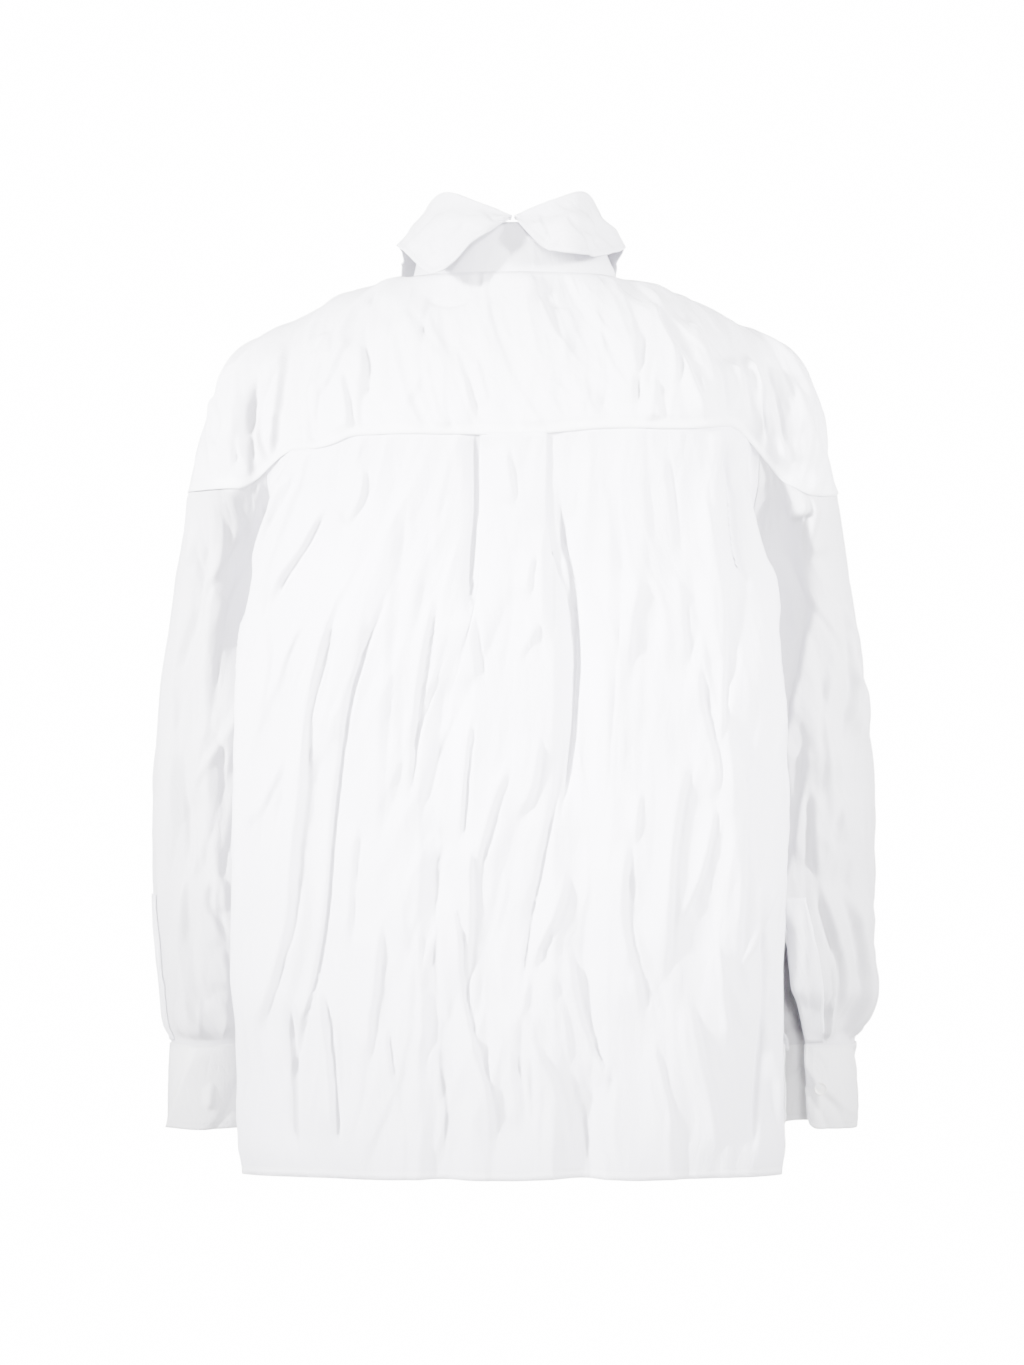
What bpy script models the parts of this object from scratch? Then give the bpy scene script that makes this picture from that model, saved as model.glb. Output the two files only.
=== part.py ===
"""Crumpled white shirt, worn and hollow, as a set of separate cloth walls.

Metres, +Z up. The wearer faces -Y, so the front is at -Y, the back at +Y and the wearer's left arm at +X.
The origin is the centre of the neck opening, level with the seam that joins the collar to the back yoke.
"""

import math

import bmesh
import bpy
import mathutils
import numpy as np

OBJECT_NAME = "crumpled_shirt"

# Driving sizes
SHIRT_LENGTH = 0.700  # collar seam to hem, down the centre back
CUFF_TOP = -0.604
CUFF_BOTTOM = -0.672
UNDERARM = -0.254
NECK_SEAM_ANGLE = math.radians(40)  # the front yoke seam leaves the neckline this far in front of the side
ARMHOLE_BACK_X = 0.192  # where the back yoke seam meets the armhole
ARMHOLE_FRONT_X = 0.178
BUTTON_RADIUS = 0.0056
BUTTON_HEIGHT = 0.0022

# Cloth
WALL = 0.0010
BAND_WALL = 0.0015  # collar, cuffs and plackets are two layers
SEAM_GAP = 0.0007
ARMHOLE_GAP = 0.0016  # the armhole and side seams turn sharply, so their walls stand further apart
LAP = 0.0021  # a strip lying on a panel is moved out this far: its wall and a gap
SLEEVE_LAP = 0.0026
FRONT_LEVEL = 0.0028  # the lower front lies this far in where the fronts lap

# Segments of the grids
ROUND_SLEEVE = 18
BACK_OUTER = 12  # from the armhole to the box pleat
YOKE_ROWS = 8
NECK_COLUMNS = 4
ARMHOLE_ROWS = 4
BODY_ROWS = 11  # from the underarm to the hem
SLEEVE_ROWS = 9  # from the underarm to the cuff

HEM = -SHIRT_LENGTH

# Rings of the upper shirt, from the neckline to the yoke's lower seam. Each ring runs round both shoulders.
# square is the superellipse exponent, dent the hollow over the armhole, drop how much of the ring's fall
# from centre to side happens at the armhole.
RING_COLUMNS = "at side_x side_y side_z back_y back_z front_y front_z square dent drop".split()
RING_ROWS = [
    (0.000, 0.0830, -0.004, 0.002, 0.061, 0.002, -0.080, -0.052, 2.00, 0.000, 0.0),
    (0.064, 0.1000, -0.004, -0.001, 0.068, -0.013, -0.085, -0.060, 2.00, 0.000, 0.0),
    (0.188, 0.1310, -0.005, -0.010, 0.077, -0.031, -0.090, -0.072, 2.05, 0.001, 0.0),
    (0.327, 0.1650, -0.006, -0.0235, 0.085, -0.050, -0.095, -0.085, 2.15, 0.003, 0.1),
    (0.459, 0.1960, -0.007, -0.039, 0.092, -0.069, -0.098, -0.098, 2.30, 0.006, 0.2),
    (0.575, 0.2210, -0.008, -0.058, 0.098, -0.087, -0.101, -0.112, 2.45, 0.012, 0.4),
    (0.741, 0.2400, -0.009, -0.098, 0.1025, -0.104, -0.103, -0.128, 2.55, 0.018, 0.6),
    (0.880, 0.2500, -0.010, -0.134, 0.1055, -0.116, -0.104, -0.142, 2.60, 0.022, 0.8),
    (1.000, 0.2565, -0.011, -0.166, 0.107, -0.1255, -0.105, -0.155, 2.60, 0.024, 1.0),
]
DENT_X, DENT_WIDTH = 0.190, 0.028
FALL_START, FALL_WIDTH = 0.165, 0.050

# The side seams, below the arms.
SIDE_SEAM = [
    (-0.699, 0.166, 0.000),
    (-0.600, 0.165, 0.000),
    (-0.450, 0.161, -0.002),
    (-0.320, 0.164, -0.004),
    (-0.254, 0.173, -0.006),
]

# Sections of the back, half of each: the side seam, the turn round behind the arm, the back's corner,
# the shoulder blade and the centre.
BACK_COLUMNS = "z edge_x edge_y turn_x turn_y corner_x corner_y blade_x blade_y centre_y".split()
BACK_ROWS = [
    (-0.699, 0.166, 0.000, 0.197, 0.035, 0.2125, 0.056, 0.130, 0.101, 0.112),
    (-0.600, 0.165, 0.000, 0.197, 0.035, 0.2130, 0.056, 0.130, 0.102, 0.113),
    (-0.450, 0.161, -0.002, 0.197, 0.037, 0.2150, 0.058, 0.132, 0.102, 0.113),
    (-0.320, 0.164, -0.004, 0.193, 0.036, 0.2120, 0.058, 0.132, 0.102, 0.112),
    (-0.254, 0.173, -0.006, 0.189, 0.030, 0.2050, 0.054, 0.132, 0.101, 0.110),
    (-0.205, 0.184, 0.020, 0.190, 0.041, 0.1970, 0.056, 0.130, 0.099, 0.108),
    (-0.165, 0.190, 0.044, 0.191, 0.052, 0.1930, 0.061, 0.126, 0.098, 0.107),
]

# Sections of the front, half of each.
FRONT_COLUMNS = "z edge_x edge_y breast_x breast_y chest_x chest_y centre_y".split()
FRONT_ROWS = [
    (-0.699, 0.166, 0.000, 0.160, -0.055, 0.100, -0.097, -0.106),
    (-0.600, 0.165, 0.000, 0.159, -0.055, 0.100, -0.098, -0.107),
    (-0.450, 0.161, -0.002, 0.157, -0.056, 0.100, -0.100, -0.109),
    (-0.320, 0.164, -0.004, 0.159, -0.058, 0.100, -0.103, -0.111),
    (-0.254, 0.173, -0.006, 0.158, -0.058, 0.100, -0.103, -0.111),
    (-0.205, 0.180, -0.043, 0.158, -0.078, 0.095, -0.101, -0.109),
    (-0.170, 0.179, -0.062, 0.150, -0.083, 0.088, -0.099, -0.106),
]

# Sections of a sleeve between its two armhole edges: the hollow behind, the back, the outer side, the front
# and the hollow in front. Below the underarm the section is a whole ring.
SLEEVE_COLUMNS = (
    "z behind_x behind_y back_x back_y outer_x outer_y front_x front_y fore_x fore_y".split()
)
SLEEVE_TABLE = [
    (-0.604, 0.2120, -0.012, 0.243, -0.003, 0.2745, -0.036, 0.243, -0.073, 0.2120, -0.062),
    (-0.590, 0.2070, -0.008, 0.242, 0.003, 0.2780, -0.034, 0.242, -0.077, 0.2070, -0.064),
    (-0.560, 0.2000, -0.002, 0.240, 0.012, 0.2820, -0.031, 0.240, -0.080, 0.2000, -0.066),
    (-0.500, 0.1960, 0.006, 0.237, 0.022, 0.2865, -0.028, 0.237, -0.082, 0.1960, -0.064),
    (-0.430, 0.1950, 0.010, 0.236, 0.026, 0.2880, -0.025, 0.234, -0.080, 0.1920, -0.060),
    (-0.340, 0.1930, 0.011, 0.232, 0.028, 0.2820, -0.020, 0.228, -0.077, 0.1870, -0.056),
    (-0.254, 0.2020, 0.005, 0.232, 0.031, 0.2710, -0.014, 0.226, -0.069, 0.1960, -0.042),
    (-0.205, 0.2090, 0.022, 0.232, 0.036, 0.2625, -0.011, 0.220, -0.068, 0.1930, -0.056),
    (-0.160, 0.2070, 0.048, 0.227, 0.051, 0.2560, -0.011, 0.216, -0.071, 0.1930, -0.066),
]
UNDERARM_SEAM = [  # height, and the sleeve seam's place on the inner side
    (-0.604, 0.2030, -0.036),
    (-0.560, 0.1880, -0.030),
    (-0.430, 0.1760, -0.024),
    (-0.340, 0.1800, -0.018),
    (-0.254, 0.1760, -0.006),
]

# The box pleat, shut at the yoke and open further down. Each column is a turn of the cloth, from outside the
# box inwards, as its place from the centre and how far it stands out.
PLEAT_PLACES = "lip valley_under valley_over edge_under edge_over".split()
PLEAT_SHUT = [
    (0.0300, -0.0030),
    (0.0185, -0.0030),
    (0.0185, -0.0008),
    (0.0255, -0.0008),
    (0.0255, 0.0014),
]
PLEAT_OPEN = [(0.076, 0.001), (0.062, -0.005), (0.053, -0.0055), (0.042, -0.002), (0.031, 0.002)]
PLEAT_CENTRE = 0.0018
PLEAT_OPENING = {  # height and how far open: the wearer's left fold stays shut further down
    1: [(-0.42, 1.0), (-0.335, 0.8), (-0.295, 0.55), (-0.254, 0.28), (-0.222, 0.0)],
    -1: [(-0.38, 1.0), (-0.295, 0.8), (-0.254, 0.55), (-0.222, 0.28), (-0.190, 0.0)],
}

# The largest folds: where each starts and ends, across and down, its half width and its height.
FOLD_COLUMNS = "top_at bottom_at top_z bottom_z width height".split()
BACK_FOLDS = [
    (0.168, 0.196, -0.16, -0.42, 0.022, 0.006),
    (0.128, 0.160, -0.17, -0.60, 0.020, -0.006),
    (0.110, 0.140, -0.30, -0.76, 0.024, 0.008),
    (0.086, 0.098, -0.19, -0.52, 0.018, 0.005),
    (0.080, 0.085, -0.46, -0.76, 0.020, -0.007),
    (0.055, 0.050, -0.40, -0.76, 0.020, 0.006),
    (0.010, -0.006, -0.34, -0.76, 0.018, -0.007),
    (-0.020, -0.035, -0.42, -0.76, 0.020, 0.007),
    (-0.085, -0.088, -0.20, -0.48, 0.022, 0.005),
    (-0.110, -0.100, -0.40, -0.76, 0.020, -0.007),
    (-0.125, -0.135, -0.18, -0.60, 0.018, 0.006),
    (-0.150, -0.150, -0.30, -0.76, 0.020, -0.006),
    (-0.175, -0.180, -0.40, -0.76, 0.022, 0.007),
]
FRONT_FOLDS = [
    (0.060, 0.050, -0.20, -0.76, 0.022, 0.006),
    (0.085, 0.090, -0.16, -0.60, 0.020, -0.006),
    (0.120, 0.125, -0.20, -0.76, 0.022, 0.007),
]
# On a sleeve the first two columns are shares of the way round from the back of the armhole to the front.
SLEEVE_FOLDS = [
    (0.20, 0.18, -0.27, -0.50, 0.05, 0.005),
    (0.32, 0.30, -0.24, -0.62, 0.05, -0.005),
    (0.42, 0.44, -0.30, -0.62, 0.05, 0.004),
    (0.58, 0.60, -0.24, -0.62, 0.05, -0.005),
    (0.70, 0.74, -0.26, -0.62, 0.06, 0.005),
    (0.84, 0.84, -0.32, -0.62, 0.05, -0.004),
]
FOLD_ENDS = 0.060  # a fold fades in and out over this length

# Collar stand
STAND_LEAN = 0.007  # the top edge is this much nearer the neck
STAND_SIDE_LEAN = 0.009  # and this much more at the sides
STAND_BACK_HEIGHT = 0.0385
STAND_FRONT_HEIGHT = 0.032
STAND_SEGMENTS = 30
STAND_ROWS = 2
STAND_FRONT_REACH = 0.015  # its ends pass the centre front and lap each other

# Collar leaves. Each row is a place along the leaf from the centre back to the centre front: the fold, then
# the free edge. Each leaf has a pointed end beside the split at the back.
LEAF_COLUMNS = "fold_x fold_y fold_z edge_x edge_y edge_z".split()
LEAF_ROWS_BY_SIDE = {
    1: [
        (0.0014, 0.0560, 0.0450, 0.0040, 0.0600, 0.0405),
        (0.0280, 0.0560, 0.0555, 0.0330, 0.0740, 0.0200),
        (0.0530, 0.0450, 0.0640, 0.0600, 0.0780, -0.0020),
        (0.0665, 0.0220, 0.0550, 0.0850, 0.0400, 0.0190),
        (0.0690, -0.0080, 0.0465, 0.0880, 0.0000, 0.0230),
        (0.0640, -0.0380, 0.0330, 0.0850, -0.0440, 0.0020),
        (0.0410, -0.0620, 0.0120, 0.0690, -0.0880, -0.0250),
        (0.0070, -0.0760, -0.0080, 0.0420, -0.1140, -0.0640),
    ],
    -1: [
        (0.0014, 0.0560, 0.0445, 0.0040, 0.0600, 0.0400),
        (0.0280, 0.0560, 0.0560, 0.0230, 0.0730, 0.0190),
        (0.0545, 0.0440, 0.0640, 0.0450, 0.0790, 0.0110),
        (0.0655, 0.0220, 0.0540, 0.0780, 0.0460, 0.0160),
        (0.0680, -0.0080, 0.0455, 0.0830, 0.0000, 0.0220),
        (0.0630, -0.0380, 0.0330, 0.0820, -0.0440, 0.0020),
        (0.0410, -0.0620, 0.0120, 0.0670, -0.0880, -0.0250),
        (0.0070, -0.0760, -0.0080, 0.0420, -0.1140, -0.0640),
    ],
}
LEAF_STEPS = 2  # columns between rows of the table
LEAF_FALL_ROWS = 3
LEAF_TURN = 0.0030  # how wide the roll of the fold is

# Cuffs: the open stretch of each, as shares of the way round from the underarm seam through the back.
CUFF_OPEN = {1: (0.47, 0.55), -1: (0.13, 0.21)}
CUFF_COLUMNS = "z outer inner back front".split()
CUFF_SECTIONS = [
    (-0.672, 0.2765, 0.2060, -0.001, -0.073),
    (-0.655, 0.2770, 0.2050, 0.000, -0.074),
    (-0.604, 0.2750, 0.2040, -0.001, -0.073),
]
CUFF_SEGMENTS = 18
CUFF_ROWS = 3
CUFF_CORNER = 0.010
SLIT_COLUMN = {1: 9, -1: 3}
SLIT_ROWS = 3  # rows of the sleeve, up from the cuff, that the slit cuts
SLIT_SPREAD = {1: (-0.3, 0.9), -1: (-0.4, 0.8)}  # how far its two edges part, in columns
SLEEVE_PLACKET_TOP = -0.490
SLEEVE_PLACKET_COLUMNS = {1: (-1.4, -0.25), -1: (0.75, 2.1)}

# Button placket down the front
FRONT_LAP = 0.017  # each front passes the centre this far
PLACKET_HALF = 0.0165
PLACKET_TOP = -0.062
BUTTON_COUNT = 6
FIRST_BUTTON = -0.115
BUTTON_PITCH = 0.092
BUTTON_SEGMENTS = 20


def columns(names, rows):
    """A table with named columns, its rows in rising order of the first one."""
    data = np.array(sorted(rows, key=lambda row: row[0]), float)
    return {name: data[:, i] for i, name in enumerate(names)}


def cubic(xs, ys, x):
    """Smooth curve through the points (xs, ys), read at x."""
    slopes = np.gradient(ys, xs)
    x = np.clip(x, xs[0], xs[-1])
    i = np.clip(np.searchsorted(xs, x) - 1, 0, len(xs) - 2)
    span = xs[i + 1] - xs[i]
    t = (x - xs[i]) / span
    keep = (1 + 2 * t) * (1 - t) ** 2
    rising, falling = t * (1 - t) ** 2 * span * slopes[i], t**2 * (1 - t) * span * slopes[i + 1]
    return keep * ys[i] + (1 - keep) * ys[i + 1] + rising - falling


def smooth_step(t):
    t = np.clip(t, 0.0, 1.0)
    return t * t * (3 - 2 * t)


def lengths(points):
    """Distance along a line of points, from its start."""
    return np.r_[0, np.cumsum(np.linalg.norm(np.diff(points, axis=0), axis=1))]


def at_lengths(points, wanted):
    """Points of a line at these distances along it."""
    along = lengths(points)
    return np.stack([np.interp(wanted, along, points[:, k]) for k in range(points.shape[1])], -1)


def curve_through(points, steps=120):
    """A smooth line through a few points."""
    points = np.asarray(points, float)
    along = lengths(points)
    fine = np.linspace(0, along[-1], steps)
    return np.stack([cubic(along, points[:, k], fine) for k in range(points.shape[1])], 1)


RINGS = columns(RING_COLUMNS, RING_ROWS)
BACK = columns(BACK_COLUMNS, BACK_ROWS)
FRONT = columns(FRONT_COLUMNS, FRONT_ROWS)
SLEEVE = columns(SLEEVE_COLUMNS, SLEEVE_TABLE)
SIDE = columns("z x y".split(), SIDE_SEAM)
SEAM = columns("z x y".split(), UNDERARM_SEAM)
CUFF = columns(CUFF_COLUMNS, CUFF_SECTIONS)
MIRROR = np.array([-1.0, 1.0, 1.0])


def read(table, z):
    """Every column of a table, read at a height."""
    return {name: float(cubic(table["z"], values, z)) for name, values in table.items()}


# The upper shirt


def ring_point(at, angle):
    """A point of the upper shirt: at is 0 on the neckline and 1 on the yoke's lower seam, and angle runs
    from the wearer's left through the back."""
    at, angle = np.broadcast_arrays(np.asarray(at, float), np.asarray(angle, float))
    r = {name: cubic(RINGS["at"], RINGS[name], at) for name in RING_COLUMNS[1:]}
    power = 2 / r["square"]
    across, behind = np.cos(angle), np.sin(angle)
    x = r["side_x"] * np.sign(across) * np.abs(across) ** power
    end_y = np.where(behind > 0, r["back_y"], r["front_y"])
    end_z = np.where(behind > 0, r["back_z"], r["front_z"])
    y = r["side_y"] + (end_y - r["side_y"]) * np.abs(behind) ** power
    side = np.sign(behind) * smooth_step(np.abs(behind) / 0.45)
    y = y - side * r["dent"] * np.exp(-(((np.abs(x) - DENT_X) / DENT_WIDTH) ** 2))
    even = (np.abs(x) / r["side_x"]) ** 2.5
    late = smooth_step((np.abs(x) - FALL_START) / FALL_WIDTH)
    fall = (1 - r["drop"]) * even + r["drop"] * late
    return np.stack([x, y, end_z + (r["side_z"] - end_z) * fall], -1)


def seam_angle(x, behind):
    """The angle at which the yoke's lower seam passes this far out, at the back or at the front."""
    share = (x / RINGS["side_x"][-1]) ** (RINGS["square"][-1] / 2)
    return math.acos(share) if behind else -math.acos(share)


def even_angles(start, end, count):
    """Angles between two on the yoke's lower seam, evenly spaced along it."""
    fine = np.linspace(start, end, 400)
    along = lengths(ring_point(1.0, fine))
    return np.interp(np.linspace(0, along[-1], count + 1), along, fine)


def seam_angles():
    """Angles of the yoke's columns on its lower seam: over one sleeve, across the back, over the other."""
    start, end = seam_angle(ARMHOLE_FRONT_X, False), seam_angle(ARMHOLE_BACK_X, True)
    sleeve = even_angles(start, end, ROUND_SLEEVE)
    back = even_angles(end, math.pi - end, 2 * BACK_OUTER)
    return np.r_[sleeve, back[1:-1], math.pi - sleeve[::-1]]


def yoke_grid():
    """Rows from the neckline to the lower seam, columns from the left front round the back."""
    low = seam_angles()
    high = np.linspace(-NECK_SEAM_ANGLE, math.pi + NECK_SEAM_ANGLE, len(low))
    at = np.linspace(0, 1, YOKE_ROWS + 1)[:, None]
    return ring_point(at, high + (low - high) * at**0.75)


# Lines that two pieces share


def back_seam():
    """The yoke's seam across the back, from the wearer's left armhole to the right."""
    end = seam_angle(ARMHOLE_BACK_X, True)
    return ring_point(1.0, even_angles(end, math.pi - end, 200))


def sleeve_seam():
    """The yoke's seam over the wearer's left sleeve, from back to front."""
    return ring_point(1.0, seam_angles()[: ROUND_SLEEVE + 1][::-1])


def front_top():
    """The upper edge of the wearer's left front, from the centre round the neckline and down the seam."""
    around = np.linspace(-math.pi / 2, -NECK_SEAM_ANGLE, NECK_COLUMNS + 1)
    return np.vstack([ring_point(0.0, around), yoke_grid()[1:, 0]])


# Sections


def panel_edge(table, z):
    """Where the back or the wearer's left front ends at a height: the armhole, or the side seam below it."""
    here = read(table, z)
    side = read(SIDE, z)
    return (here["edge_x"], here["edge_y"]) if z > UNDERARM else (side["x"], side["y"])


def back_section(z):
    """The back at one height, from the wearer's left side seam to the right."""
    b = read(BACK, z)
    half = [
        panel_edge(BACK, z),
        (b["turn_x"], b["turn_y"]),
        (b["corner_x"], b["corner_y"]),
        (b["blade_x"], b["blade_y"]),
        (0.062, 0.6 * b["centre_y"] + 0.4 * b["blade_y"] + 0.0025),
    ]
    return curve_through(half + [(0.0, b["centre_y"])] + [(-x, y) for x, y in half[::-1]])


def front_section(z):
    """The wearer's left front at one height, from past the centre to the side seam."""
    f = read(FRONT, z)
    inner = [(-FRONT_LAP, f["centre_y"]), (0.0, f["centre_y"])]
    outer = [
        (f["chest_x"], f["chest_y"]),
        (f["breast_x"], f["breast_y"]),
        panel_edge(FRONT, z),
    ]
    return curve_through(inner + outer)


def sleeve_section(z):
    """The wearer's left sleeve at one height, from the back of the armhole round to the front."""
    s = read(SLEEVE, z)
    names = "behind back outer front fore".split()
    around = [(s[name + "_x"], s[name + "_y"]) for name in names]
    if z >= UNDERARM:
        ends = [panel_edge(BACK, z), panel_edge(FRONT, z)]
    else:
        seam = read(SEAM, z)
        ends = [(seam["x"], seam["y"])] * 2
    return curve_through([ends[0]] + around + [ends[1]])


def cuff_section(z):
    """The wearer's left cuff at one height, once round from the inner side through the back."""
    c = read(CUFF, z)
    angle = np.linspace(-math.pi, math.pi, 121)[::-1]
    x = (c["outer"] + c["inner"]) / 2 + (c["outer"] - c["inner"]) / 2 * np.cos(angle)
    y = (c["back"] + c["front"]) / 2 + (c["back"] - c["front"]) / 2 * np.sin(angle)
    return np.stack([x, y], 1)


def fold_height(folds, at, z):
    """How far a table's folds stand out at a place: a rounded ridge or trough along each line."""
    height = 0.0
    for top_at, bottom_at, top_z, bottom_z, width, rise in folds:
        line = top_at + (bottom_at - top_at) * (top_z - z) / (top_z - bottom_z)
        fade = smooth_step((top_z - z) / FOLD_ENDS) * smooth_step((z - bottom_z) / FOLD_ENDS)
        height += rise * fade * math.exp(-(((at - line) / width) ** 2))
    return height


def hang(section, top, place, end_z, rows_below, turn=1):
    """A grid of points that hangs from a line: even rows down to the underarm, then level rows to end_z.

    section(z) is the panel's line at a height, and turn says which side of it is outside: 1 for the right,
    -1 for the left. place(j, z, length) gives column j's share of that line and how far it stands out. The
    first row follows the line top.
    """
    rows = []
    for i in range(ARMHOLE_ROWS + rows_below + 1):
        row, lifts = [], []
        for j in range(len(top)):
            if i <= ARMHOLE_ROWS:
                z = top[j][2] + (UNDERARM - top[j][2]) * i / ARMHOLE_ROWS
            else:
                z = UNDERARM + (end_z - UNDERARM) * (i - ARMHOLE_ROWS) / rows_below
            line = section(z)
            length = lengths(line)[-1]
            share, lift = place(j, z, length)
            spots = np.array([share, max(0, share - 0.01), min(1, share + 0.01)]) * length
            here, before, after = at_lengths(line, spots)
            along = (after - before) / np.linalg.norm(after - before)
            row.append(np.r_[here, z])
            lifts.append(np.array([along[1], -along[0], 0.0]) * lift * turn)
        row, lifts = np.array(row), np.array(lifts)
        if i == 0:
            shift = top - row
        rows.append(row + lifts + shift * max(0.0, 1 - i / ARMHOLE_ROWS) ** 2)
    return np.array(rows)


# Panels


def pleat_turns(side, z):
    """(place, level) of each turn of one side of the box pleat at a height."""
    table = columns(["z", "open"], PLEAT_OPENING[side])
    ajar = np.interp(z, table["z"], table["open"])
    shut, wide = np.array(PLEAT_SHUT), np.array(PLEAT_OPEN)
    return shut + (wide - shut) * ajar


def back_place(j, z, length):
    """Column j of the back: share of its line from the wearer's left, and how far it stands out."""
    half = length / 2
    turns = len(PLEAT_PLACES)
    middle = BACK_OUTER + turns
    side = 1 if j <= middle else -1
    k = j if side > 0 else 2 * middle - j
    folded = pleat_turns(side, z)
    if k < BACK_OUTER:
        from_centre = half + (folded[0, 0] - half) * k / BACK_OUTER
        level = 0.0
    elif k < middle:
        from_centre, level = folded[k - BACK_OUTER]
    else:
        from_centre, level = 0.0, PLEAT_CENTRE
    at = side * from_centre
    edge = smooth_step((half - from_centre) / 0.03)
    open_part = edge * max(smooth_step((from_centre - 0.055) / 0.02), smooth_step((-0.36 - z) / 0.08))
    return (half - at) / length, level + open_part * fold_height(BACK_FOLDS, at, z)


def back_grid():
    seam = back_seam()
    whole = lengths(seam)[-1]
    count = 2 * (BACK_OUTER + len(PLEAT_PLACES)) + 1
    top = [at_lengths(seam, back_place(j, -0.13, whole)[0] * whole) for j in range(count)]
    return hang(back_section, np.array(top), back_place, HEM, BODY_ROWS)


def front_grid(level):
    """The wearer's left front, its lapped edge moved in by level."""
    top = front_top()
    inner = top[0] * MIRROR + np.array([-FRONT_LAP, 0.0, 0.0])
    top = np.vstack([inner, top])
    across = (top[:, 0] + FRONT_LAP) / (top[-1, 0] + FRONT_LAP)

    def place(j, z, length):
        centre = smooth_step((0.080 - across[j] * length) / 0.028)
        edge = smooth_step((1 - across[j]) / 0.15)
        at = across[j] * length - FRONT_LAP
        return across[j], edge * fold_height(FRONT_FOLDS, at, z) - level * centre

    grid = hang(front_section, top, place, HEM, BODY_ROWS)
    return grid


def sleeve_place(j, z, length):
    share = j / ROUND_SLEEVE
    edge = smooth_step(min(share, 1 - share) / 0.12)
    return share, edge * fold_height(SLEEVE_FOLDS, share, z)


def sleeve_grid():
    """The wearer's left sleeve: rows from the yoke to the cuff, columns from the back to the front."""
    return hang(sleeve_section, sleeve_seam(), sleeve_place, CUFF_TOP, SLEEVE_ROWS, -1)


def cuff_grid(side):
    """A cuff, opened out at its slit, for the wearer's left: rows from its top to its lower edge."""
    start, end = CUFF_OPEN[side][1], CUFF_OPEN[side][0] + 1
    share = np.linspace(start, end, CUFF_SEGMENTS + 1)
    rows = []
    for down in np.linspace(0, 1, CUFF_ROWS + 1):
        z = CUFF_TOP - 2 * SEAM_GAP + (CUFF_BOTTOM - CUFF_TOP) * down
        line = cuff_section(z)
        length = lengths(line)[-1]
        row = at_lengths(line, (share % 1.0) * length)
        rows.append(np.column_stack([row, np.full(len(row), z)]))
    grid = np.array(rows)
    grid[-1, [0, -1], 2] += CUFF_CORNER
    grid[-1, [1, -2], 2] += 0.15 * CUFF_CORNER
    return grid


def stand_grid():
    """The collar stand: rows from the neckline up, columns from the wearer's left end round the back."""
    reach = STAND_FRONT_REACH / 0.08
    angle = np.linspace(-math.pi / 2 - reach, 1.5 * math.pi + reach, STAND_SEGMENTS + 1)
    foot = ring_point(0.0, angle)
    under = np.where(angle > math.pi / 2, 1.0, 0.0)
    out = np.stack([np.cos(angle), np.sin(angle), 0 * angle], 1)
    foot = foot - out * (LAP * under * smooth_step((-np.sin(angle) - 0.80) / 0.15))[:, None]
    back = 0.5 + 0.5 * np.sin(angle)
    height = STAND_FRONT_HEIGHT + (STAND_BACK_HEIGHT - STAND_FRONT_HEIGHT) * back
    rows = []
    for up in np.linspace(0, 1, STAND_ROWS + 1):
        lift = np.stack([0 * angle, 0 * angle, SEAM_GAP + height * up], 1)
        rows.append(foot - out * stand_lean(angle) * up + lift)
    return np.array(rows)


def stand_lean(angle):
    """How much nearer the neck the stand's top is than its foot, round the neck."""
    return (STAND_LEAN + STAND_SIDE_LEAN * np.cos(angle) ** 2)[:, None]


def stand_top(angle):
    """The line just above the stand, for the leaves to start from."""
    out = np.stack([np.cos(angle), np.sin(angle), 0 * angle], 1)
    back = 0.5 + 0.5 * np.sin(angle)
    height = STAND_FRONT_HEIGHT + (STAND_BACK_HEIGHT - STAND_FRONT_HEIGHT) * back
    point = ring_point(0.0, angle) - out * stand_lean(angle)
    point[:, 2] += height + 2 * SEAM_GAP + BAND_WALL / 2
    return point


def leaf_grid(side):
    """One half of the collar, for the wearer's left: rows from the stand over the fold to the free edge."""
    table = np.array(LEAF_ROWS_BY_SIDE[side])
    fine = np.linspace(0, len(table) - 1, LEAF_STEPS * (len(table) - 1) + 1)
    line = np.stack([cubic(np.arange(len(table)), table[:, k], fine) for k in range(6)], 1)
    fold, edge = line[:, :3], line[:, 3:]
    angle = np.linspace(math.pi / 2 - 0.02, -math.pi / 2 + 0.09, len(fine))
    foot = stand_top(angle)
    foot[:, 2] = np.minimum(foot[:, 2], fold[:, 2] - 0.001)
    fall = edge - fold
    run = np.linalg.norm(fall, axis=1, keepdims=True)
    away = fall * np.array([1.0, 1.0, 0.0])
    away /= np.linalg.norm(away, axis=1, keepdims=True)
    wide = np.clip(run / 0.02, 0.75, 1.0)
    rows = [foot, fold - away * LEAF_TURN * wide / 2, fold + away * LEAF_TURN * wide / 2]
    rows += [rows[-1] + (edge - rows[-1]) * t for t in np.linspace(0, 1, LEAF_FALL_ROWS + 1)[1:]]
    return np.array(rows)


def outward(grid):
    """Unit normals of a grid whose columns run from the wearer's back through the left to the front."""
    normal = np.cross(np.gradient(grid, axis=1), np.gradient(grid, axis=0))
    return normal / np.maximum(np.linalg.norm(normal, axis=2, keepdims=True), 1e-9)


def read_grid(grid, row, column):
    """Points of a grid between its rows and columns."""
    row, column = np.broadcast_arrays(np.asarray(row, float), np.asarray(column, float))
    i = np.clip(np.floor(row).astype(int), 0, grid.shape[0] - 2)
    j = np.clip(np.floor(column).astype(int), 0, grid.shape[1] - 2)
    a, b = (row - i)[..., None], (column - j)[..., None]
    top = grid[i, j] * (1 - b) + grid[i, j + 1] * b
    return top * (1 - a) + (grid[i + 1, j] * (1 - b) + grid[i + 1, j + 1] * b) * a


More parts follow.
